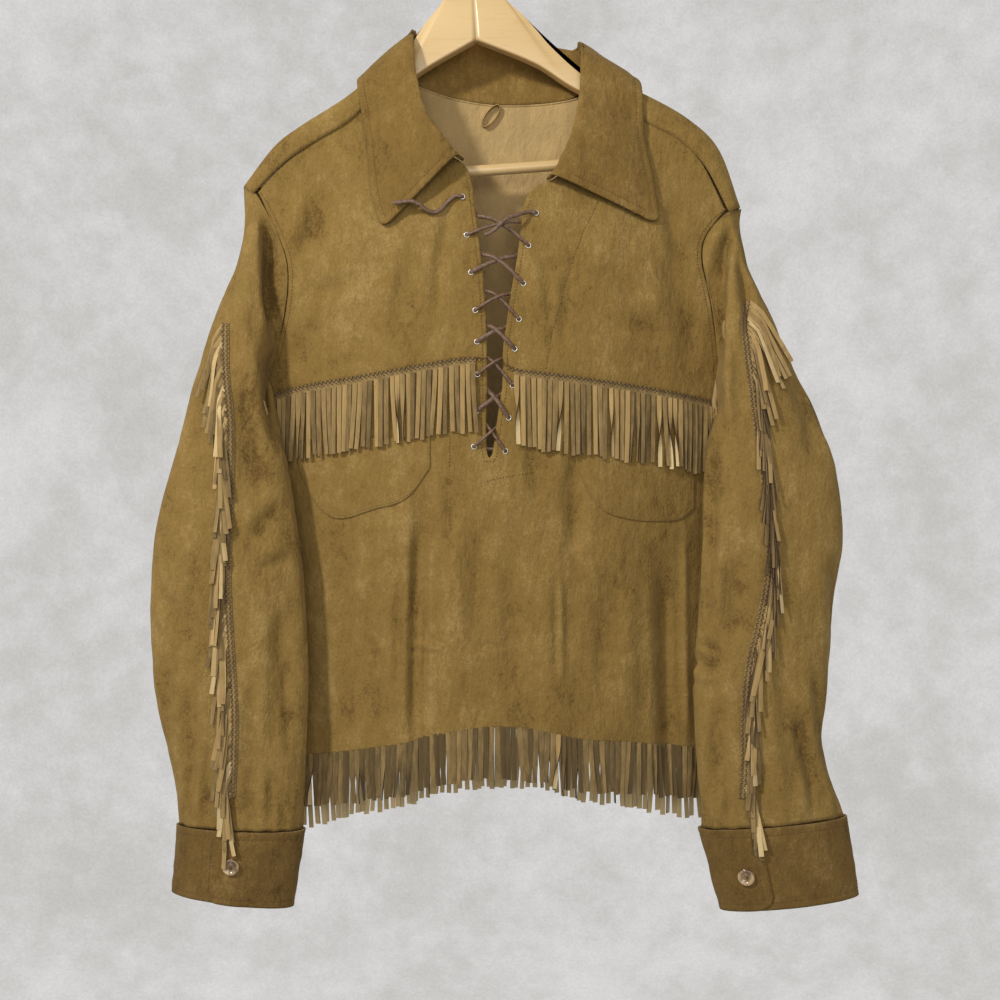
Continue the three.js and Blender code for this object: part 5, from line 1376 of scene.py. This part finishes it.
def stitches(path, outs, pitch=3.1, length=2.2, radius=0.33, slant=0.0, spread=0.0):
    """A row of small rounded stitches along a path: four rings each, arched out of the cloth.

    slant turns every other stitch one way and the rest the other, and spread moves them aside.
    """
    points, run = resample(path, pitch)
    count = len(points)
    path = np.asarray(path, dtype=float)
    outs = np.broadcast_to(np.asarray(outs, dtype=float), path.shape)
    nearest = np.argmin(np.linalg.norm(points[:, None] - path[None], axis=2), axis=1)
    up = unit(outs[nearest])
    aside = unit(np.cross(run, up))
    sign = np.where(np.arange(count) % 2, 1.0, -1.0)[:, None]
    run_turned = run * math.cos(slant) + aside * sign * math.sin(slant)
    side = np.cross(run_turned, up)
    middle = points + aside * sign * spread
    rings = []
    for place, size, rise in STITCH_RINGS:
        centre = middle + run_turned * length * place + up * radius * rise
        ring = [
            centre + (side * math.cos(a) + up * math.sin(a)) * radius * size
            for a in np.arange(6) / 6 * 2 * math.pi
        ]
        rings.append(np.stack(ring, axis=1))
    shape = np.stack(rings, axis=1)
    at = np.arange(count * 24).reshape(count, 4, 6)
    following = np.roll(at, -1, axis=2)
    walls = np.stack([at[:, :-1], at[:, 1:], following[:, 1:], following[:, :-1]], axis=-1)
    quads = [walls.reshape(-1, 4)]
    for half in ([0, 1, 2, 3], [0, 3, 4, 5]):
        quads += [at[:, 0, half], at[:, -1, half[::-1]]]
    return shape.reshape(-1, 3), np.concatenate(quads)


def dense(line, count=240):
    """A broken line of x, z rows, with many points at even steps."""
    line = np.asarray(line, dtype=float)
    run = np.concatenate([[0], np.cumsum(np.hypot(*np.diff(line, axis=0).T))])
    places = fine(count, 0, run[-1])
    return np.interp(places, run, line[:, 0]), np.interp(places, run, line[:, 1])


FORWARD = np.array([0.0, -1.0, 0.0])


def front_row(line, out=0.05, **sizes):
    """A row of stitches along x, z rows on the front."""
    x, z = dense(line)
    return stitches(on_front(x, z, out), FORWARD, **sizes)


def offset_line(line, side):
    """A line of x, z rows moved sideways by side."""
    x, z = dense(line, 120)
    dx, dz = np.gradient(x), np.gradient(z)
    size = np.hypot(dx, dz)
    return np.stack([x - dz / size * side, z + dx / size * side], axis=1)


def curve_rows(line, count=60, low=0.0, high=1.0):
    return np.stack(along(line, fine(count, low, high)), axis=1)


slit_left_line, slit_right_line = curve_rows(SLIT_LEFT, 60, 0, 0.56), curve_rows(SLIT_RIGHT, 60, 0, 0.56)
slit_foot_left = np.stack([SLIT_END[::-1, 1], SLIT_END[::-1, 0]], axis=1)
slit_foot_right = np.stack([SLIT_END[::-1, 2], SLIT_END[::-1, 0]], axis=1)
body_rows = [
    front_row(offset_line(slit_left_line, 4.2)), front_row(offset_line(slit_right_line, -4.2)),
    front_row(offset_line(slit_foot_left, -4.2)), front_row(offset_line(slit_foot_right, 4.2)),
    front_row(px((482, 461), (495, 462))), front_row(FACING_RIGHT), front_row(FACING_LOWER_LEFT),
    front_row(FACING_LOWER, length=1.6), front_row(FACING_LEFT, length=1.4, radius=0.25),
]
for line, side in ((ARMHOLE_LEFT, 1), (ARMHOLE_RIGHT, -1)):
    edge = curve_rows(line, 90, 0.06, 0.9)
    body_rows.append(front_row(offset_line(edge, 4.5 * side)))
pocket_rows = []
for left, right, top, lower in (POCKET_LEFT, POCKET_RIGHT):
    share = fine(90, 0.02, 0.98)
    rim_z = mix(top, column(lower, share), 0.95)
    rim_x = mix(left, right, share)
    rim = np.stack([rim_x, rim_z], axis=1)
    rim = np.concatenate([[[rim_x[0], top]], rim, [[rim_x[-1], top]]])
    pocket_rows.append(front_row(rim, 1.35, length=2.4, radius=0.3))
for line, inward in ((SHOULDER_LEFT, 1), (SHOULDER_RIGHT, -1)):
    for step in (2.6, 6.4):
        edge = curve_rows(line, 60, 0.04, 0.93)
        x, z = dense(edge + np.array([0.3 * inward, 1.0]) * step)
        path = stack(x, -13.2 - 0 * x + step * 0.28, z)
        body_rows.append(stitches(path, unit(np.array([0, -1.0, 0.3]))))
body_stitches = new_object("body_stitches", *join_shapes(body_rows), thread)
pocket_stitches = new_object("pocket_stitches", *join_shapes(pocket_rows), pale_highlight_thread)

chest_rows = []
for start, end in ((-200, 16), (37, 240)):
    x = fine(240, start, end)
    z = height_at(CHEST_SEAM, x) - 0.4
    path = on_front(x, z, 2.1)
    chest_rows.append(stitches(
        path, FORWARD, pitch=2.2, length=3.9, radius=0.36, slant=1.05, spread=0.1,
    ))
    chest_rows.append(stitches(path - [0, -0.3, 2.6], FORWARD, pitch=4.4, length=2.2, radius=0.3))
chest_stitches = new_object("chest_whip_stitches", *join_shapes(chest_rows), whip_thread)


def stitch_line(points, gap, normals, far):
    """Where the distance to the rim is far, on each row of a grid, from its last column in."""
    path, outs = [], []
    for k in range(len(points)):
        inwards = gap[k, ::-1]
        hit = np.flatnonzero((inwards[:-1] <= far) & (inwards[1:] > far))
        if len(hit):
            j = points.shape[1] - 1 - hit[0]
            f = (far - gap[k, j]) / (gap[k, j - 1] - gap[k, j])
            path.append(mix(points[k, j], points[k, j - 1], f))
            outs.append(normals[k, j])
    return np.array(path), np.array(outs)


across = slice(30, collar_grid.shape[1] - 7)
collar_fields = collar_grid, collar_gap, grid_normals(collar_grid, 1)
collar_rows = []
for grid, gap, normals in (
    collar_fields,
    [field[:40, across][::-1].swapaxes(0, 1) for field in collar_fields],
    [field[-40:, across].swapaxes(0, 1) for field in collar_fields],
):
    path, outs = stitch_line(grid, gap, normals, 7.2)
    if len(path) > 3:
        collar_rows.append(stitches(path, outs, pitch=3.2, length=2.3))
collar_stitches = new_object("collar_stitches", *join_shapes(collar_rows), thread)


def sleeve_rows(grid, line, outward):
    """The whipped seam that the sleeve's strands hang from, and the topstitch of the sleeve."""
    made = []
    x, z = along(line, fine(260))
    for aside, turn in ((-2.6, 1.0), (1.2, 0.8)):
        place = x + outward * aside
        path = stack(place, on_sleeve(grid, place, z) - 1.75, z)
        made.append(stitches(path, FORWARD, pitch=2.3, length=3.0, radius=0.34, slant=turn))
    return made


sleeve_stitches_left, sleeve_stitches_right = [
    new_object(name, *join_shapes(sleeve_rows(grid, line, outward)), whip_thread)
    for name, grid, line, outward in (
        ("sleeve_stitches_left", sleeve_left_grid, SLEEVE_SEAM_LEFT, -1),
        ("sleeve_stitches_right", sleeve_right_grid, SLEEVE_SEAM_RIGHT, 1),
    )
]


def cuff_row(rows, end, t, v, seed):
    """Topstitch along the places t, v of a cuff, just proud of its face."""
    face = cuff_at(rows, end, t, v)
    out = unit(face - cuff_at(rows, end, t + 0.5, v))
    return stitches(face + out * (0.15 - cuff_press(rows, end, t, v, seed)[:, None]), out)


def cuff_rows(rows, end, seed):
    """Topstitch round a cuff: along its upper and lower edge, and down its flap."""
    t, v = end + LAP_TURNS * (1 - fine(400, 0.02, 0.985)), fine(60, 0.09, 0.86)
    made = [cuff_row(rows, end, t, np.full_like(t, edge), seed) for edge in (0.09, 0.91)]
    return made + [cuff_row(rows, end, np.full_like(v, end + 0.02), v, seed)]


cuff_stitches_left, cuff_stitches_right = [
    new_object(name, *join_shapes(cuff_rows(rows, end, seed)), thread)
    for name, rows, end, seed in (
        ("cuff_stitches_left", CUFF_LEFT, LAP_LEFT_END, 91),
        ("cuff_stitches_right", CUFF_RIGHT, LAP_RIGHT_END, 95),
    )
]

# ---- lace, eyelets, buttons and loop ----


def rounded(path, share=0.32, rounds=3):
    """A broken line with its corners cut off a few times over, so that it bends smoothly."""
    path = np.asarray(path, dtype=float)
    for _ in range(rounds):
        near = path[:-1] * (1 - share) + path[1:] * share
        far = path[:-1] * share + path[1:] * (1 - share)
        inner = np.stack([near, far], axis=1).reshape(-1, 3)
        path = np.concatenate([path[:1], inner, path[-1:]])
        share = 0.25
    return path


def slit_edge(side, z):
    """The slit's edge at a height: the yoke's edge above the chest seam, the panel's below it."""
    if z < SLIT_LEFT[0, 1]:
        order = np.argsort(SLIT_END[:, 0])
        return np.interp(z, SLIT_END[order, 0], SLIT_END[order, 1 if side < 0 else 2])
    line = SLIT_LEFT if side < 0 else SLIT_RIGHT
    order = np.argsort(line[:, 1])
    return np.interp(z, line[order, 1], line[order, 0])


def eyelet_at(side, k):
    return EYELETS[k, :2] if side < 0 else EYELETS[k, 2:]


def lace_half(start, over):
    """Half of the lace: out through an eyelet, across the slit, round the other edge and so on up."""
    path, side = [], start
    put = lambda x, z, out: path.append(on_front(np.array(x), np.array(z), out))
    for k in range(len(EYELETS) - 1, 0, -1):
        (x, z), (_, next_z) = eyelet_at(side, k), eyelet_at(-side, k - 1)
        middle_z, pass_z = mix(z, next_z, 0.5), mix(z, next_z, 0.6)
        middle_x = (slit_edge(-1, middle_z) + slit_edge(1, middle_z)) / 2
        pass_x = slit_edge(-side, pass_z) + side * 2.2
        put(x, z, -3.6)
        put(x, z, 3.1)
        put(middle_x, middle_z, 3.1 + over)
        put(pass_x, pass_z, 1.0)
        put(pass_x, pass_z, -4.3)
        side = -side
    x, z = eyelet_at(side, 0)
    put(x, z, -3.6)
    put(x, z, 3.1)
    put(x - 3.8, z, 3.1)
    return path


lace_path = rounded(lace_half(-1, 3.8)[::-1] + lace_half(1, 0.0))
lace = new_object("lace_cord", *sweep(lace_path, 2.1, 1.45, 12), lace_leather)


def free_end(name, rows):
    """A free end of the lace: a smooth curve over the yoke, the collar and the slit."""
    f = fine(90)
    x, z, out = (column(rows[:, k], f) for k in range(3))
    x, z = x + 0.5 * np.sin(9 * f), z + 0.7 * np.sin(12 * f + 1)
    path = stack(x, front_y(x, z) + front_press(x, z) * ease(1 - out / 9) - out, z)
    return new_object(name, *sweep(path, 1.95, 1.4, 12), lace_leather), path


lace_end_left, lace_left_path = free_end("lace_end_left_cord", LACE_END_LEFT)
lace_end_right, lace_right_path = free_end("lace_end_right_cord", LACE_END_RIGHT)


def lathe(profile, place, outward, sides=24, capped=False):
    """A turned shape: rows of radius and height round an axis, open at both ends unless capped."""
    radius, height = np.array(profile, dtype=float).T
    angles = np.arange(sides) / sides * 2 * math.pi
    outward = unit(np.asarray(outward, dtype=float))
    first = unit(np.cross(outward, [0.0, 0.0, 1.0] if abs(outward[2]) < 0.9 else [0.0, 1.0, 0.0]))
    second = np.cross(outward, first)
    spokes = np.cos(angles)[:, None] * first + np.sin(angles)[:, None] * second
    points = place + radius[:, None, None] * spokes[None] + height[:, None, None] * outward
    return points.reshape(-1, 3), ring_faces(len(points), sides, capped)


def ring_shape(place, outward, hole, outer, height, sides=20):
    """A rolled metal ring: a round profile turned about its axis, joined to itself."""
    turns = np.arange(9) / 9 * 2 * math.pi
    middle, half = (hole + outer) / 2, (outer - hole) / 2
    profile = [(middle - half * math.cos(a), height / 2 + height / 2 * math.sin(a)) for a in turns]
    points, quads = lathe(profile, place, outward, sides)
    first = np.arange(sides)
    last, following = first + (len(profile) - 1) * sides, np.roll(first, -1)
    last = np.stack([last, np.roll(last, -1), following, first], axis=-1)
    quads = np.concatenate([quads, last])
    return points, quads[:, ::-1]


rings = []
for k in range(len(EYELETS)):
    for side in (-1, 1):
        x, z = eyelet_at(side, k)
        rings.append(ring_shape(on_front(np.array(x), np.array(z), -0.1), (0, -1, 0), 1.7, 2.9, 0.9))
eyelets = new_object("eyelet_rings", *join_shapes(rings), bright_ring)


def box_middle(node_name):
    """The middle of a CAD node's box, in millimetres."""
    low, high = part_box(node_name)
    return np.array([(low[k] + high[k]) / 2 / MM for k in range(3)])


def build_button(name, box_name, outward):
    """One turned piece: a domed rim round a dished middle."""
    place = box_middle(box_name)
    outward = unit(np.array(outward, dtype=float))
    sides = 40
    face = [(0.05, 2.1), (1.2, 2.1), (2.6, 2.1), (4.2, 2.3), (5.0, 3.0)]
    face += [(5.9, 3.6), (7.0, 3.5), (7.8, 2.8), (8.2, 1.8)]
    back = [(8.0, 0.9), (7.0, 0.2), (4.0, 0.0), (0.05, 0.0)]
    points, quads = lathe(face + back, place - outward * 1.8, outward, sides, capped=True)
    return new_object(name, points, quads[:, ::-1], button_horn)


button_left = build_button("button_left_horn", "button_left", (-0.05, -1, 0))
button_right = build_button("button_right_horn", "button_right", (-0.35, -0.93, 0))

# The thread of each button, crossed over its middle
small_rows = []
for box_name in ("button_left", "button_right"):
    place = box_middle(box_name)
    for dx, dz in ((1.5, 1.5), (-1.5, 1.5)):
        a, b = place + [dx, -0.9, dz], place + [-dx, -0.9, -dz]
        small_rows.append(sweep(np.array([a, mix(a, b, 0.5) + [0, -0.5, 0], b]), 0.35, 0.35, 8))
button_thread = new_object("button_thread", *join_shapes(small_rows), thread)


def build_loop():
    t, v = np.broadcast_arrays(np.arange(64)[:, None] / 64, fine(6)[None, :])
    angle = 2 * math.pi * t
    far, near = 12.5 * np.cos(angle), 4.6 * np.sin(angle)
    x = 22 + far * math.cos(0.9) - near * math.sin(0.9)
    z = -172 + far * math.sin(0.9) + near * math.cos(0.9)
    y = back_at(x, z) - WALL - GAP - 0.4 - 4 * v
    return cloth("hanging_loop_strip", stack(x, y, z), body_suede, 0.8, -1, closed=True)


hanging_loop = build_loop()

# ---- hanger ----

# Top edge out from the mitre, then back along the lower edge: x, z
ARM = table(
    (0.15, -36), (9, -39), (19, -51), (31, -70), (45, -85), (56, -100), (70, -119), (96, -146),
    (132, -172), (176, -193), (204, -210), (219, -227), (220, -242), (209, -249), (190, -249),
    (188, -220), (176, -214), (132, -186), (89, -160), (55, -135), (0.15, -108),
)
ARM_SECTIONS, ARM_TOP_ROWS, ARM_LOW_ROWS = 90, 12, 9
ARM_HALF_THICK, ARM_END_TAPER = 7.0, (0.96, 0.86)
TILT = math.radians(4.1)


def tilted(points):
    """The hanger's own frame turned about the hook's rest, left end down."""
    x, y, z = points[..., 0], points[..., 1], points[..., 2]
    return stack(x * math.cos(TILT) - z * math.sin(TILT), y, x * math.sin(TILT) + z * math.cos(TILT))


def smooth_edge(line, low, high, count):
    """Part of an outline as a smooth curve at even steps of its rows."""
    f = fine(count)
    rows = line[low:high]
    return np.stack([column(rows[:, k], f) for k in (0, 1)], axis=1)


def build_arm(name, side):
    """An arm: a rounded box across it, from its top edge to its lower edge, in sections along it.

    Known fault: a section joins the same row of both edges, and the lower edge's rows lie further
    out. So sections lean, cross near the top edge, and turn a narrow strip of faces over. Reading
    both edges at the same x would stand them upright.
    """
    top = smooth_edge(ARM, 0, ARM_TOP_ROWS, ARM_SECTIONS)
    low = smooth_edge(ARM[::-1], 0, ARM_LOW_ROWS, ARM_SECTIONS)
    corners, power = 32, 0.34
    angle = np.arange(corners) / corners * 2 * math.pi + math.pi / corners
    across = np.sign(np.sin(angle)) * np.abs(np.sin(angle)) ** power
    up = np.sign(np.cos(angle)) * np.abs(np.cos(angle)) ** power
    middle, half = (top + low) / 2, (top - low) / 2
    size = np.linalg.norm(half, axis=1)
    # Superellipse corners that keep their size, whatever the height of the section
    up_scaled = np.sign(up)[None] * (1 - (1 - np.abs(up)[None]) * np.minimum(1, 9 / size)[:, None])
    end = np.ones(ARM_SECTIONS)
    end[-2:] = ARM_END_TAPER
    x = middle[:, :1] + half[:, :1] * up_scaled * end[:, None]
    z = middle[:, 1:] + half[:, 1:] * up_scaled * end[:, None]
    y = ARM_HALF_THICK * across[None] * (end * 0.98)[:, None]
    y = np.broadcast_to(y, x.shape)
    points = tilted(stack(x * side, y, z))
    quads = ring_faces(ARM_SECTIONS, corners)
    if side > 0:
        quads = quads[:, ::-1]
    return new_object(name, points.reshape(-1, 3), quads, hanger_wood)


hanger_left = build_arm("hanger_left_wood", -1)
hanger_right = build_arm("hanger_right_wood", 1)

bar_path = tilted(stack(fine(40, -187.6, 187.6), 0.0, -234.0))
bar = new_object("trouser_bar_wood", *sweep(bar_path, 5.4, 5.4, 24), hanger_wood)

# The hook: a turned wire; above the photograph's edge it is guessed
HOOK_BEND, HOOK_WIRE = 17.0, 1.8

arc = np.radians(np.linspace(-60, 205, 60))
hook_middle = HOOK_WIRE - HOOK_BEND
hook_arc = np.stack([HOOK_BEND * np.cos(arc), 0 * arc, hook_middle + HOOK_BEND * np.sin(arc)], axis=1)
hook_stem = [[0, 0, -36.2], [0.6, 0, -33.5], [3.5, 0, -31.5]]
hook_path = rounded(np.concatenate([hook_stem, hook_arc]), 0.25, 2)
hook = new_object("hook_wire", *sweep(tilted(hook_path), HOOK_WIRE, HOOK_WIRE, 16), hook_steel)

# ---- camera, lights and backdrop ----

scene = bpy.context.scene
lens_data = bpy.data.cameras.new("camera")
lens_data.sensor_fit = "AUTO"
lens_data.angle = 2 * math.atan(475 / 1150)
camera = bpy.data.objects.new("camera", lens_data)
camera.location = (0.031, -1.185, -0.556)
camera.rotation_euler = (math.radians(90), 0, 0)
scene.collection.objects.link(camera)
scene.camera = camera


def area_light(name, place, aim, size, power, colour=(1, 1, 1)):
    """A square light that faces its aim."""
    data = bpy.data.lights.new(name, "AREA")
    data.shape, data.size, data.energy, data.color = "SQUARE", size, power, colour
    lamp = bpy.data.objects.new(name, data)
    lamp.location = place
    direction = np.array(aim, dtype=float) - np.array(place, dtype=float)
    flat = math.hypot(direction[0], direction[1])
    turn = math.atan2(direction[1], direction[0]) - math.pi / 2
    lamp.rotation_euler = (math.atan2(flat, -direction[2]), 0, turn)
    scene.collection.objects.link(lamp)
    return lamp


MIDDLE = (0.03, 0.0, -0.5)
area_light("key", (-1.2, -1.35, 0.6), MIDDLE, 0.2, 28, (1.0, 0.98, 0.95))
area_light("front", (0.1, -2.2, -0.1), MIDDLE, 1.2, 15, (1.0, 0.99, 0.97))
area_light("behind", (0.9, 2.0, 0.4), MIDDLE, 1.0, 22, (1.0, 0.99, 0.97))

world = bpy.data.worlds.new("room")
world.use_nodes = True
world.node_tree.nodes["Background"].inputs[0].default_value = (0.96, 0.97, 1.0, 1.0)
world.node_tree.nodes["Background"].inputs[1].default_value = 0.36
scene.world = world
scene.view_settings.view_transform = "Standard"


def build_backdrop():
    """A round pale studio: a floor that curves up into a wall all round, seen from inside."""
    profile = [(0.02, -1900), (800, -1900), (1700, -1900)]
    bend = np.radians(fine(12, 6, 90))
    profile += [(1700 + 900 * math.sin(a), -1000 - 900 * math.cos(a)) for a in bend]
    profile += [(2600, -400), (2600, 600), (2600, 2600)]
    points, quads = lathe(profile, np.array([31.0, 0.0, 0.0]), (0, 0, 1), 96)
    return new_object("studio", points, quads, backdrop_paper)


made, tree, shader, place = start_material("backdrop cloth")
swells = noise(tree, place, 2.6, 3, 0.55)
folds = maths(tree, "ADD", swells, maths(tree, "MULTIPLY", noise(tree, place, 11, 5, 0.7), 0.8))
pale = blend(tree, span(tree, folds, 0.6, 1.2), rgb(194, 192, 189), rgb(214, 213, 212))
pile = span(tree, noise(tree, place, 130, 3, 0.75), 0.25, 0.75, 0.92, 1.05)
tree.links.new(pale, shader.inputs["Emission Color"])
tree.links.new(pile, shader.inputs["Emission Strength"])
shader.inputs["Base Color"].default_value = (0.02, 0.02, 0.02, 1.0)
shader.inputs["Roughness"].default_value = 1.0
made.cycles.emission_sampling = "NONE"
backdrop_paper = made
studio = build_backdrop()
studio.visible_diffuse = studio.visible_shadow = False

# ---- what each piece stands for ----

PARTS = (
    # piece, slot, the nodes that it replaces
    (lower_front, "suede", ("front_lower",)),
    (yoke_left, "suede", ("front_yoke_left",)),
    (yoke_right, "suede", ("front_yoke_right",)),
    (back_panel, "suede", ("back",)),
    (sleeve_left, "suede", ("sleeve_left",)),
    (sleeve_right, "suede", ("sleeve_right",)),
    (cuff_left, "suede", ("cuff_left",)),
    (cuff_right, "suede", ("cuff_right",)),
    (collar, "collar_suede", ("collar",)),
    (pocket_left, "suede", ("pocket_left",)),
    (pocket_right, "suede", ("pocket_right",)),
    (chest_fringe_left, "fringe", ("chest_fringe_left",)),
    (chest_fringe_right, "fringe", ("chest_fringe_right",)),
    (hem_front, "fringe", ("hem_fringe_front",)),
    (hem_back, "fringe", ("hem_fringe_back",)),
    (sleeve_fringe_left, "fringe", ("sleeve_fringe_left",)),
    (sleeve_fringe_right, "fringe", ("sleeve_fringe_right",)),
    (lace, "lace", ("lace",)),
    (lace_end_left, "lace", ("lace_end_left",)),
    (lace_end_right, "lace", ("lace_end_right",)),
    (eyelets, "eyelet", tuple(f"eyelet_{side}_{k + 1}" for side in ("left", "right") for k in range(8))),
    (button_left, "button", ("button_left",)),
    (button_right, "button", ("button_right",)),
    (hanging_loop, "suede", ("hanging_loop",)),
    (hanger_left, "wood", ("hanger_arm_left",)),
    (hanger_right, "wood", ("hanger_arm_right",)),
    (bar, "wood", ("trouser_bar",)),
    (hook, "hook_steel", ("hanger_hook",)),
    (body_stitches, "suede", ()),
    (pocket_stitches, "suede", ()),
    (chest_stitches, "suede", ()),
    (collar_stitches, "collar_suede", ()),
    (sleeve_stitches_left, "suede", ()),
    (sleeve_stitches_right, "suede", ()),
    (cuff_stitches_left, "suede", ()),
    (cuff_stitches_right, "suede", ()),
    (button_thread, "button", ()),
)
for piece, slot, nodes in PARTS:
    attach(piece, "root")
    if nodes:
        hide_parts(*nodes)
